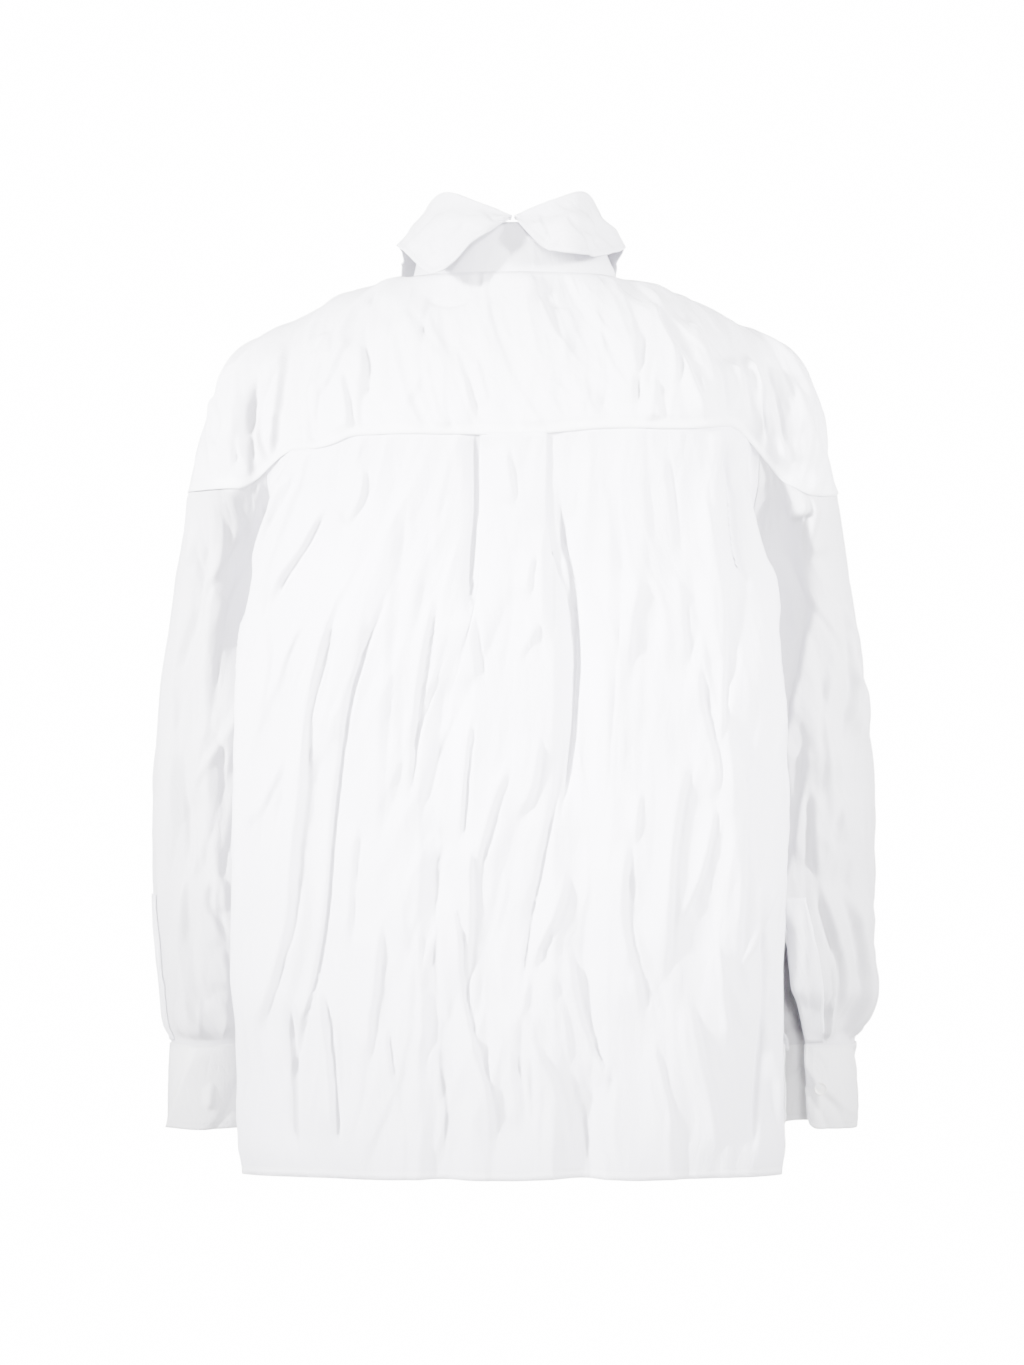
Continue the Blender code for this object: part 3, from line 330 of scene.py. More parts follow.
# Further creases on the back of each sleeve and cuff: x is counted outwards
SLEEVE_BACK = {
    1: [
        (9, 3.0, 0.30, (258, -190), (254, -206), (249, -226)),
        (8, 2.4, 0.60, (256, -206), (252, -226), (248, -245)),
        (6, 2.6, 0.50, (238, -248), (231, -253), (222, -259)),
        (7, 2.0, 0.65, (237, -292), (236, -320), (239, -348)),
        (14, 3.0, 0.50, (248, -352), (238, -376), (242, -420)),
        (9, 4.2, 0.70, (238, -468), (241, -494), (234, -509), (225, -526)),
        (7, 3.4, 0.60, (229, -470), (228, -482), (229, -500)),
        (7, 3.0, 0.60, (230, -526), (227, -545), (226, -560)),
        (5, 2.6, 0.60, (259, -566), (252, -584), (242, -601)),
        (9, 4.0, 0.50, (238, -566), (229, -580), (220, -592)),
        (7, 2.4, 0.60, (262, -420), (259, -480), (262, -540)),
        (8, 2.2, 0.60, (272, -300), (268, -370), (270, -450)),
    ],
    -1: [
        (8, 4.0, 0.60, (216, -190), (224, -184), (232, -180)),
        (8, 4.0, 0.70, (234, -172), (233, -196), (235, -222)),
        (10, 5.5, 0.72, (240, -247), (234, -268), (229, -301), (220, -346), (211, -385), (209, -400)),
        (10, 5.0, 0.70, (261, -250), (261, -289), (264, -325), (260, -366)),
        (9, 3.6, 0.65, (211, -272), (211, -301), (206, -342)),
        (8, 3.6, 0.68, (232, -362), (229, -400), (225, -427), (222, -462)),
        (8, 3.6, 0.68, (237, -400), (237, -439), (240, -474)),
        (5, 2.2, 0.65, (258, -408), (255, -424), (252, -444)),
        (8, 4.2, 0.70, (216, -460), (217, -496), (221, -514)),
        (14, 7.0, 0.60, (224, -494), (226, -529), (223, -556), (218, -570)),
        (10, 6.0, 0.68, (243, -474), (249, -514), (255, -532), (256, -584)),
        (10, 6.0, 0.68, (261, -478), (267, -514), (271, -556), (268, -580), (257, -604)),
        (9, 3.0, 0.60, (272, -300), (276, -360), (278, -430)),
        (6, 2.4, 0.60, (246, -300), (243, -350), (246, -400)),
    ],
}
CUFF_BACK = {
    1: [
        (6, 2.4, 0.60, (219, -617), (245, -634), (268, -646)),
        (5, 1.6, 0.60, (236, -611), (250, -620), (266, -626)),
        (7, 1.8, 0.50, (222, -638), (238, -652), (250, -670)),
        (6, 1.6, 0.50, (252, -640), (262, -652), (268, -668)),
    ],
    -1: [
        (6, 1.8, -0.60, (214, -642), (234, -628), (260, -622)),
        (6, 1.8, -0.60, (238, -612), (234, -630), (226, -650)),
        (5, 1.4, -0.50, (250, -628), (246, -645), (250, -668)),
    ],
}
LEAF_CREASES = {
    1: [
        (6, 1.8, 0.60, (56, 52), (60, 32), (66, 12)),
        (5, 1.4, 0.60, (36, 44), (48, 28), (62, 17)),
        (6, 1.2, 0.50, (28, 50), (22, 38), (24, 26)),
    ],
    -1: [
        (5, 2.0, -0.60, (28, 58), (42, 46), (56, 37)),
        (6, 2.4, -0.60, (37, 44), (43, 31), (56, 18)),
        (5, 1.4, -0.50, (20, 50), (21, 35), (27, 22)),
        (7, 1.8, -0.50, (55, 52), (58, 36), (58, 20)),
    ],
}

# Tucks at each cuff: share of the way round, width of the slope, length up the sleeve and height
CUFF_TUCKS = {
    1: [
        (0.36, 0.007, 0.080, 0.006),
        (0.28, 0.006, 0.055, 0.004),
        (0.20, 0.008, 0.065, 0.005),
        (0.66, 0.007, 0.090, 0.006),
        (0.76, 0.006, 0.060, 0.004),
        (0.86, 0.007, 0.050, 0.004),
    ],
    -1: [
        (0.29, 0.006, 0.115, 0.009),
        (0.40, 0.006, 0.105, 0.008),
        (0.50, 0.008, 0.070, 0.006),
        (0.62, 0.007, 0.080, 0.005),
        (0.74, 0.006, 0.060, 0.004),
        (0.86, 0.007, 0.050, 0.004),
    ],
}
SLEEVE_TUCK = 0.006  # how far the sleeve's end goes inside its cuff
STRIP_REACH = {1: (-0.065, -0.004), -1: (0.004, 0.070)}

# Half a section of a button: distance from its axis and height, as shares of its radius
BUTTON_PROFILE = [
    *((0, 0), (0.80, 0), (0.95, 0.08), (1, 0.20), (0.97, 0.33)),
    *((0.86, 0.40), (0.74, 0.35), (0.64, 0.24), (0, 0.22)),
]

# Light and camera
ROOM_LIGHT = 1.36
BACKDROP_LIGHT = 16.0
BACKDROP_EDGE = (-0.93, -0.965)  # the backdrop lights up between these values of the direction's y
FRONT_LIGHT, FRONT_TARGET, FRONT_SIZE, FRONT_POWER = (-2.4, -3.2, 1.4), (0.0, 0.0, -0.35), 2.0, 160.0
SPOT_COLOUR = (0.98, 0.98, 1.0)
SPOT_TARGET, SPOT_CONE, SPOT_SIZE = (-0.01, 0.1, -0.285), 18.0, 0.36
SPOTS = [
    ("key_left", (3.3, 2.1, 0.75), 18200.0, 0.31),
    ("key_right", (-3.3, 2.3, 0.6), 9600.0, 0.34),
    ("fill", (-0.1, 4.9, 0.3), 3500.0, 0.48),
]
CAMERA_PLACE = (0.0008, 3.55, -0.318)
CAMERA_LENS = 118.3

# Small creases, largest first: how many a square metre, length, width of the slope, height, how much steeper
# one slope may be, and how far they sway from the cloth's lean
CREASE_SIZES = [
    (170, (0.120, 0.320), (0.0060, 0.013), 0.0064, 0.78, 0.11),
    (800, (0.060, 0.170), (0.0034, 0.0065), 0.0036, 0.75, 0.15),
    (2400, (0.025, 0.080), (0.0024, 0.0042), 0.0013, 0.60, 0.25),
]
# How the back's creases lean: place across, place down from the yoke, reach and lean
BACK_LEANS = [
    (0.14, 0.20, 0.13, 0.38),
    (0.10, 0.42, 0.10, 0.18),
    (-0.05, 0.47, 0.12, -0.16),
    (-0.17, 0.45, 0.10, -0.14),
    (-0.12, 0.12, 0.10, -0.10),
    (0.02, 0.33, 0.08, 0.14),
]
FRONT_LEANS = [(0.10, 0.20, 0.12, -0.15), (0.0, 0.45, 0.15, 0.15)]
YOKE_LEANS = [(0.22, 0.08, 0.12, 0.35), (-0.22, 0.08, 0.12, -0.30), (0.0, 0.06, 0.10, 0.4)]
SLEEVE_LEANS = [(0.0, 0.10, 0.12, 0.25), (0.03, 0.33, 0.12, -0.20), (-0.05, 0.22, 0.08, 0.30)]

# Broken facets of the small crumpling: height, width, length and seed
FACETS = [(0.0027, 0.021, 0.090, 11), (0.0012, 0.0100, 0.036, 13)]

# How strongly a panel takes its main creases and its small crumpling
YOKE_MAIN, YOKE_SMALL, YOKE_DENTS = 1.5, 1.35, 0.0026
BACK_MAIN, BACK_SMALL = 1.45, 0.8
SLEEVE_BACK_MAIN = {1: 0.9, -1: 1.6}
SLEEVE_SMALL = 1.2
CUFF_MAIN, CUFF_SMALL = 2.2, 0.9
LEAF_MAIN, LEAF_SMALL = 2.0, 0.7

# Cloth
SIDES = ((1, "left"), (-1, "right"))
LEAST_SLOPE = 0.0022
SHEET_WALL, YOKE_WALL, STRIP_WALL, BAND_WALL = 0.0005, 0.0008, 0.0009, 0.0012
MOST_LIFT = 0.010  # crumpling stands out or in no further than about this
CALM_EDGE = 0.009  # creases die out this near a seam
HEM_STITCHES, HEM_BAND = 0.0065, 0.0072
STITCH_PITCH, SEAM_HOLLOW = 0.0026, 0.0011
WARP_PITCH, WEFT_PITCH, WEAVE_HEIGHT = 0.00042, 0.00046, 0.00002
CRINKLE_HEIGHT, BROAD_HEIGHT = 0.0005, 0.0016
CLOUD_SHADE, FLECK_SHADE = 0.05, 0.03
# The darker seam colour is painted shade in the hollow beside each row of stitches
BAND_COLOUR, SEAM_SHADE_COLOUR = (0.93, 0.93, 0.945), (0.62, 0.62, 0.66)
# Painted shade: sleeves and cuffs are coloured darker than the body, for the shade they hang in beside it
SLEEVE_SHADE, CUFF_SHADE = (0.82, 0.82, 0.81), (0.90, 0.90, 0.88)

# Grids
YOKE_GRID = (70, 460)
PANEL_STEP, SLEEVE_STEP = 0.0046, 0.0036
BACK_TOP, BACK_OUTER = 301, 126  # columns across the whole back, and from its side to the pleat
PLEAT_STEPS, PLEAT_CENTRE_STEPS = (6, 3, 5, 8), 18
FRONT_COUNT = 156
SLEEVE_HALF = 90
CORNER_REACH, CORNER_RISE = 0.016, 0.006  # the hem's rounded corners


# Sizes and colours that can be changed


class ShirtSizes(bpy.types.PropertyGroup):
    """Sizes of the shirt's trim and how strongly the cloth is crumpled."""

    crumple: bpy.props.FloatProperty(
        name="Crumple", description="Strength of the small crumpling", default=1.0, min=0.0, max=2.0
    )
    button_radius: bpy.props.FloatProperty(
        name="Button Radius", description="Outer radius of a button", default=0.0054, unit="LENGTH"
    )
    thread: bpy.props.FloatProperty(
        name="Thread", description="Thickness of the sewing thread", default=0.0004, unit="LENGTH"
    )


def colour_property(name, description, default):
    return bpy.props.FloatVectorProperty(
        name=name, description=description, default=default, size=3, subtype="COLOR", min=0, max=1
    )


class ShirtColours(bpy.types.PropertyGroup):
    """Colours of the shirt and its surroundings."""

    cotton: colour_property("Cotton", "Colour of the cloth", (0.870, 0.863, 0.902))
    # single cloth is coloured a little greyer than doubled cloth: partly its thinness, partly painted shade
    # of the dark hollow inside showing through
    shade: colour_property("Thin Cloth", "Colour where the cloth is single", (0.832, 0.822, 0.872))
    button: colour_property("Button", "Colour of the buttons", (0.80, 0.79, 0.76))
    floor: colour_property("Floor", "Colour of the floor", (0.93, 0.93, 0.93))


# Curves and tables


def columns(names, rows):
    """A table with named columns, its rows in rising order of the first one."""
    data = np.array(sorted(rows, key=lambda row: row[0]), float)
    return {name: data[:, i] for i, name in enumerate(names)}


def cubic(xs, ys, x):
    """Smooth curve through the points (xs, ys), read at x."""
    slopes = np.gradient(ys, xs)
    x = np.clip(x, xs[0], xs[-1])
    i = np.clip(np.searchsorted(xs, x) - 1, 0, len(xs) - 2)
    span = xs[i + 1] - xs[i]
    t = (x - xs[i]) / span
    keep = (1 + 2 * t) * (1 - t) ** 2
    rising, falling = t * (1 - t) ** 2 * span * slopes[i], t**2 * (1 - t) * span * slopes[i + 1]
    return keep * ys[i] + (1 - keep) * ys[i + 1] + rising - falling


def smooth_step(t):
    """From 0 to 1 as t does, level at both ends."""
    t = np.clip(t, 0.0, 1.0)
    return t * t * (3 - 2 * t)


def lengths(points):
    """Distance along a line of points, from its start."""
    return np.r_[0, np.cumsum(np.linalg.norm(np.diff(points, axis=0), axis=1))]


def at_lengths(points, wanted):
    """Points of a line at these distances along it."""
    along = lengths(points)
    return np.stack([np.interp(wanted, along, points[:, k]) for k in range(points.shape[1])], -1)


def curve_through(points, steps=160):
    """A smooth line through a few points."""
    points = np.asarray(points, float)
    along = lengths(points)
    fine = np.linspace(0, along[-1], steps)
    return np.stack([cubic(along, points[:, k], fine) for k in range(points.shape[1])], 1)


RINGS = columns(RING_COLUMNS, RING_ROWS)
SIDE = columns(SIDE_COLUMNS, SIDE_SEAM)
BACK = columns(BACK_COLUMNS, BACK_ROWS)
FRONT = columns(FRONT_COLUMNS, FRONT_ROWS)
SLEEVE = columns(SLEEVE_COLUMNS, SLEEVE_TABLE)
UNDER_SEAM = columns(SIDE_COLUMNS, SLEEVE_SEAM)
CUFF = columns(CUFF_COLUMNS, CUFF_SECTIONS)
WANDER = columns(["x", "rise"], SEAM_WANDER)
MIRROR = np.array([-1.0, 1.0, 1.0])


def read(table, z):
    """Every column of a table, read at a height."""
    return {name: float(cubic(table["z"], values, z)) for name, values in table.items()}


def read_grid(grid, row, column):
    """Values of a grid between its rows and columns."""
    row, column = np.broadcast_arrays(np.asarray(row, float), np.asarray(column, float))
    i = np.clip(np.floor(row).astype(int), 0, grid.shape[0] - 2)
    j = np.clip(np.floor(column).astype(int), 0, grid.shape[1] - 2)
    a, b = row - i, column - j
    if grid.ndim == 3:
        a, b = a[..., None], b[..., None]
    top = grid[i, j] * (1 - b) + grid[i, j + 1] * b
    return top * (1 - a) + (grid[i + 1, j] * (1 - b) + grid[i + 1, j + 1] * b) * a


def outward(grid, turn=1):
    """Unit normals of a grid of points. turn is 1 where its columns run anticlockwise seen from above."""
    normal = np.cross(np.gradient(grid, axis=0), np.gradient(grid, axis=1)) * turn
    return normal / np.maximum(np.linalg.norm(normal, axis=2, keepdims=True), 1e-9)


# Crumpling


def noise(u, v, cell_u, cell_v, seed):
    """Smooth random values from -1 to 1 with cells of this size."""
    rng = np.random.default_rng(seed)
    values = rng.uniform(-1, 1, (64, 64))
    x, y = u / cell_u, v / cell_v
    i, j = np.floor(x).astype(int), np.floor(y).astype(int)
    a, b = smooth_step(x - i), smooth_step(y - j)
    i, j, p, q = i % 64, j % 64, (i + 1) % 64, (j + 1) % 64
    top = values[i, j] * (1 - a) + values[p, j] * a
    return top * (1 - b) + (values[i, q] * (1 - a) + values[p, q] * a) * b


def crease(b, t, width, height, lean, crest=0.0009, crack=0.0):
    """Height of one crease: b is the distance across from its line, t the share of its length, and crack how
    much of its height a groove goes down at the foot of its steeper side."""
    ends = smooth_step(t / 0.22) * smooth_step((1 - t) / 0.22)
    slope = np.maximum(width * (1 + lean * np.sign(b)), LEAST_SLOPE)
    rise = height * np.exp(-(np.sqrt(b * b + crest * crest) - crest) / slope)
    foot = np.sign(lean) * 1.5 * max(width * (1 - abs(lean)), LEAST_SLOPE) if height > 0 else 0.0
    return ends * (rise - crack * abs(height) * np.exp(-(((b + foot) / 0.0017) ** 2)))


def main_creases(rows, x, z):
    """Height of the creases of a table at places x, z."""
    total = np.zeros(x.shape)
    for width, height, lean, *places in rows:
        line = curve_through(np.array(places) * 0.001, 5 * len(places))
        width, along = width * 0.001, lengths(line)
        reach = 4.5 * width * (1 + abs(lean))
        low, high = line.min(0) - reach, line.max(0) + reach
        near = (x > low[0]) & (x < high[0]) & (z > low[1]) & (z < high[1])
        across, share, least = np.zeros((3, near.sum())) + [[0.0], [0.0], [1.0]]
        for start, end, gone in zip(line[:-1], line[1:], along):
            way = (end - start) / np.hypot(*(end - start))
            dx, dz = x[near] - start[0], z[near] - start[1]
            run = np.clip(dx * way[0] + dz * way[1], 0, np.hypot(*(end - start)))
            gap = np.hypot(dx - run * way[0], dz - run * way[1])
            closer = gap < least
            across[closer] = (gap * np.sign(way[0] * dz - way[1] * dx))[closer]
            share[closer] = ((gone + run) / along[-1])[closer]
            least = np.minimum(least, gap)
        total[near] += crease(across, share, width, height * 0.001, lean, 0.0006, 0.50)
    return total


def flow(rows, u, v):
    """Which way the creases lean at a place: the sum of a table's places, each with its reach and lean."""
    total = 0
    for at, down, reach, lean in rows:
        total += lean * math.exp(-((u - at) ** 2 + (v - down) ** 2) / reach**2)
    return total


def crumple(u, v, seed, leans=(), spread=1.0, tilt=0.0):
    """Height of wrung cotton at places u across and v down: long uneven creases, mostly down it."""
    rng = np.random.default_rng(seed)
    total = np.zeros(u.shape)
    low_u, high_u, low_v, high_v = u.min(), u.max(), v.min(), v.max()
    area = (high_u - low_u) * (high_v - low_v)
    for per_area, long, wide, high, steep, sway in CREASE_SIZES:
        for _ in range(int(per_area * area)):
            cu, cv = rng.uniform(low_u, high_u), rng.uniform(low_v, high_v)
            angle = tilt + flow(leans, cu, cv) + rng.normal(0, sway * spread)
            half = rng.uniform(*long) / 2
            width = rng.uniform(*wide)
            height = high * rng.uniform(0.35, 1.0) ** 2 * (1 if rng.random() < 0.65 else -1)
            lean, bend = rng.uniform(0.2, 1.0) * steep * rng.choice((-1, 1)), rng.normal(0, 0.5)
            reach = half + 4 * width
            beside = abs(math.sin(angle)) * half + 5 * width + half * half * 2
            near = (np.abs(u - cu) < beside) & (np.abs(v - cv) < reach)
            if not near.any():
                continue
            du, dv = u[near] - cu, v[near] - cv
            along = dv * math.cos(angle) + du * math.sin(angle)
            wave = 0.06 * half * np.sin(along / half * 3.1 + cu * 400)
            across = du * math.cos(angle) - dv * math.sin(angle) - bend * along * along - wave
            total[near] += crease(across, along / (2 * half) + 0.5, width, height, lean, 0.0005, 0.14)
    patch = 0.8 + 0.4 * noise(u, v, 0.06, 0.12, seed + 5)
    return patch * total


# Form of the shirt


def ring_point(at, angle):
    """A point of the upper shirt: at is 0 on the neckline and 1 on the yoke's lower seam, and angle runs
    from the wearer's left through the back."""
    at, angle = np.broadcast_arrays(np.asarray(at, float), np.asarray(angle, float))
    r = {name: cubic(RINGS["at"], RINGS[name], at) for name in RING_COLUMNS[1:]}
    power = 2 / r["square"]
    across, behind = np.cos(angle), np.sin(angle)
    x = r["side_x"] * np.sign(across) * np.abs(across) ** power
    end_y = np.where(behind > 0, r["back_y"], r["front_y"])
    end_z = np.where(behind > 0, r["back_z"], r["front_z"])
    y = r["side_y"] + (end_y - r["side_y"]) * np.abs(behind) ** power
    side = np.sign(behind) * smooth_step(np.abs(behind) / 0.45)
    y = y - side * r["dent"] * np.exp(-(((np.abs(x) - DENT_X) / DENT_WIDTH) ** 2))
    even = (np.abs(x) / r["side_x"]) ** 2.5
    late = smooth_step((np.abs(x) - FALL_START) / FALL_WIDTH)
    fall = (1 - r["drop"]) * even + r["drop"] * late
    wander = cubic(WANDER["x"], WANDER["rise"], x) * smooth_step(behind / 0.3) * at**3
    return np.stack([x, y, end_z + (r["side_z"] - end_z) * fall + wander], -1)


def seam_angle(x, behind):
    """The angle at which the yoke's lower seam passes this far out, at the back or at the front."""
    share = (x / RINGS["side_x"][-1]) ** (RINGS["square"][-1] / 2)
    return math.acos(share) if behind else -math.acos(share)


def even_angles(start, end, count):
    """Angles between two on the yoke's lower seam, evenly spaced along it."""
    fine = np.linspace(start, end, 1200)
    along = lengths(ring_point(1.0, fine))
    return np.interp(np.linspace(0, along[-1], count + 1), along, fine)


def yoke_form(rows, count):
    """The yoke: rows from the neckline to the lower seam, columns from the left front round the back."""
    start, end = seam_angle(ARMHOLE_FRONT_X, False), math.pi - seam_angle(ARMHOLE_FRONT_X, False)
    low = even_angles(start, end, count)
    high = np.linspace(-NECK_SEAM_ANGLE, math.pi + NECK_SEAM_ANGLE, len(low))
    at = np.linspace(0, 1, rows + 1)[:, None]
    return ring_point(at, high + (low - high) * at**0.75)


def back_seam(count=400):
    """The yoke's seam across the back, from the wearer's left armhole to the right."""
    end = seam_angle(ARMHOLE_BACK_X, True)
    return ring_point(1.0, even_angles(end, math.pi - end, count))


def sleeve_seam(side, count=300):
    """The yoke's seam over one sleeve, from back to front, turned to the wearer's left."""
    start, end = seam_angle(ARMHOLE_BACK_X, True), seam_angle(ARMHOLE_FRONT_X, False)
    if side > 0:
        return ring_point(1.0, even_angles(end, start, count)[::-1])
    return ring_point(1.0, even_angles(math.pi - start, math.pi - end, count)) * MIRROR


def front_top(count):
    """The upper edge of the wearer's left front, from past the centre to the armhole."""
    around = np.linspace(-math.pi / 2, -NECK_SEAM_ANGLE, 60)
    at = np.linspace(0, 1, 140)
    low = seam_angle(ARMHOLE_FRONT_X, False)
    seam = ring_point(at, -NECK_SEAM_ANGLE + (low + NECK_SEAM_ANGLE) * at**0.75)
    line = np.vstack([ring_point(0.0, around), seam[1:]])
    inner = line[0] + np.array([-FRONT_LAP, 0.0, 0.0])
    line = np.vstack([inner, line])
    across = (line[:, 0] + FRONT_LAP) / (line[-1, 0] + FRONT_LAP)
    even = np.linspace(0, 1, count)
    return np.stack([np.interp(even, across, line[:, k]) for k in range(3)], 1)


def panel_edge(table, z):
    """Where the back or the wearer's left front ends at a height: the armhole, or the side seam below it."""
    here, side = read(table, z), read(SIDE, z)
    return (here["edge_x"], here["edge_y"]) if z > UNDERARM else (side["x"], side["y"])


def back_section(z):
    """The back at one height, from the wearer's left side seam to the right."""
    b = read(BACK, z)
    half = [
        panel_edge(BACK, z),
        (b["turn_x"], b["turn_y"]),
        (b["corner_x"], b["corner_y"]),
        (b["blade_x"], b["blade_y"]),
        (0.062, 0.6 * b["centre_y"] + 0.4 * b["blade_y"] + 0.0025),
    ]
    return curve_through(half + [(0.0, b["centre_y"])] + [(-x, y) for x, y in half[::-1]], 320)


def front_section(z):
    """The wearer's left front at one height, from past the centre to the side seam."""
    f = read(FRONT, z)
    inner = [(-FRONT_LAP, f["centre_y"]), (0.0, f["centre_y"])]
    outer = [(f["chest_x"], f["chest_y"]), (f["breast_x"], f["breast_y"]), panel_edge(FRONT, z)]
    return curve_through(inner + outer)


def sleeve_section(z):
    """The wearer's left sleeve at one height, from the back of the armhole round to the front."""
    s = read(SLEEVE, z)
    around = [(s[name + "_x"], s[name + "_y"]) for name in "behind back outer front fore".split()]
    if z >= UNDERARM:
        ends = [panel_edge(BACK, z), panel_edge(FRONT, z)]
    else:
        seam = read(UNDER_SEAM, z)
        ends = [(seam["x"], seam["y"])] * 2
    return curve_through([ends[0]] + around + [ends[1]])


def sections(section, low, high, shares, steps=90):
    """A panel's sections as a grid: heights down, shares of each section's length across."""
    heights = np.linspace(high, low, steps)
    rows = []
    for z in heights:
        line = section(z)
        rows.append(at_lengths(line, shares * lengths(line)[-1]))
    return heights, np.array(rows)


def hang(section, top, end_z, turn, step):
    """The form of a panel that hangs from a line of points down to end_z: points and unit normals."""
    count = len(top)
    shares = np.linspace(0, 1, count)
    heights, lines = sections(section, end_z, float(top[:, 2].max()), shares)
    upper = np.linspace(0, 1, max(8, int((float(top[:, 2].mean()) - UNDERARM) / step)) + 1)
    below = np.linspace(UNDERARM, end_z, int((UNDERARM - end_z) / step) + 1)[1:]
    column = np.arange(count)
    rows = []
    for f in upper:
        z = top[:, 2] + (UNDERARM - top[:, 2]) * f
        place = (heights[0] - z) / (heights[0] - heights[-1]) * (len(heights) - 1)
        rows.append(np.column_stack([read_grid(lines, place, column), z]))
        if f == 0:
            shift = top - rows[0]
        rows[-1] += shift * (1 - f) ** 2
    for z in below:
        place = (heights[0] - z) / (heights[0] - heights[-1]) * (len(heights) - 1)
        rows.append(np.column_stack([read_grid(lines, np.full(count, place), column), np.full(count, z)]))
    points = np.array(rows)
    return points, outward(points, turn)


def spans(points):
    """Distances across and down a grid of points, in metres, as two grids."""
    across = np.linalg.norm(np.diff(points, axis=1), axis=2)
    down = np.linalg.norm(np.diff(points, axis=0), axis=2)
    u = np.concatenate([np.zeros((points.shape[0], 1)), np.cumsum(across, axis=1)], axis=1)
    v = np.concatenate([np.zeros((1, points.shape[1])), np.cumsum(down, axis=0)], axis=0)
    return u - u[:, -1:] / 2, v


def flat_area(points):
    """Area of a grid of points."""
    a, b = points[1:, 1:] - points[:-1, :-1], points[1:, :-1] - points[:-1, 1:]
    return float(np.linalg.norm(np.cross(a, b), axis=2).sum() / 2)


def even_line(points, count):
    """A line of points spread evenly along its length."""
    return at_lengths(points, np.linspace(0, lengths(points)[-1], count))


# Materials


class Wire:
    """A shader value: arithmetic on it adds the Math nodes."""

    def __init__(self, tree, socket):
        self.tree, self.socket = tree, socket

    def node(self, kind, settings=None, inputs=None, output=0):
        """A new node of this kind, its settings made first, and one of its outputs."""
        made = self.tree.nodes.new(kind)
        for name, value in (settings or {}).items():
            setattr(made, name, value)
        for name, value in (inputs or {}).items():
            if isinstance(value, Wire):
                self.tree.links.new(value.socket, made.inputs[name])
            else:
                made.inputs[name].default_value = value
        return Wire(self.tree, made.outputs[output])

    def maths(self, operation, first, second=0.0):
        return self.node("ShaderNodeMath", {"operation": operation}, {0: first, 1: second})

    def __add__(self, other):
        return self.maths("ADD", self, other)

    def __sub__(self, other):
        return self.maths("SUBTRACT", self, other)

    def __mul__(self, other):
        return self.maths("MULTIPLY", self, other)

    def __truediv__(self, other):
        return self.maths("DIVIDE", self, other)

    __radd__ = __add__
    __rmul__ = __mul__

    def __rsub__(self, other):
        return self.maths("SUBTRACT", other, self)

    def below(self, other):
        return self.maths("LESS_THAN", self, other)

    def fraction(self):
        return self.maths("FRACT", self)

    def size(self):
        return self.maths("ABSOLUTE", self)

    def larger(self, other):
        return self.maths("MAXIMUM", self, other)

    def other_output(self, index):
        """Another output of the node that makes this value."""
        return Wire(self.tree, self.socket.node.outputs[index])

    def mixed(self, factor, first, second):
        """A colour between two, each a shader value or (red, green, blue)."""
        ends = [end if isinstance(end, Wire) else (*end, 1.0) for end in (first, second)]
        return self.node("ShaderNodeMix", {"data_type": "RGBA"}, {0: factor, 6: ends[0], 7: ends[1]}, 2)

    def feed(self, socket):
        self.tree.links.new(self.socket, socket)


def noise_wire(start, place, scale, detail=2.0, roughness=0.5, stretch=(1.0, 1.0, 1.0)):
    """Noise from 0 to 1 on a place vector, scale in features per metre."""
    moved = start.node("ShaderNodeVectorMath", {"operation": "MULTIPLY"}, {0: place, 1: stretch})
    return start.node(
        "ShaderNodeTexNoise", {}, {"Vector": moved, "Scale": scale, "Detail": detail, "Roughness": roughness}
    )


def new_material(name, values):
    """A material whose shader has these values: the material, the shader and a start for its nodes."""
    material = bpy.data.materials.new(name)
    material.use_nodes = True
    tree = material.node_tree
    shader = tree.nodes["Principled BSDF"]
    for key, value in values.items():
        shader.inputs[key].default_value = value
    return material, shader, Wire(tree, shader.outputs[0])


EDGES = {"left": ("near", 0), "top": ("near", 1), "right": ("far", 0), "bottom": ("far", 1)}


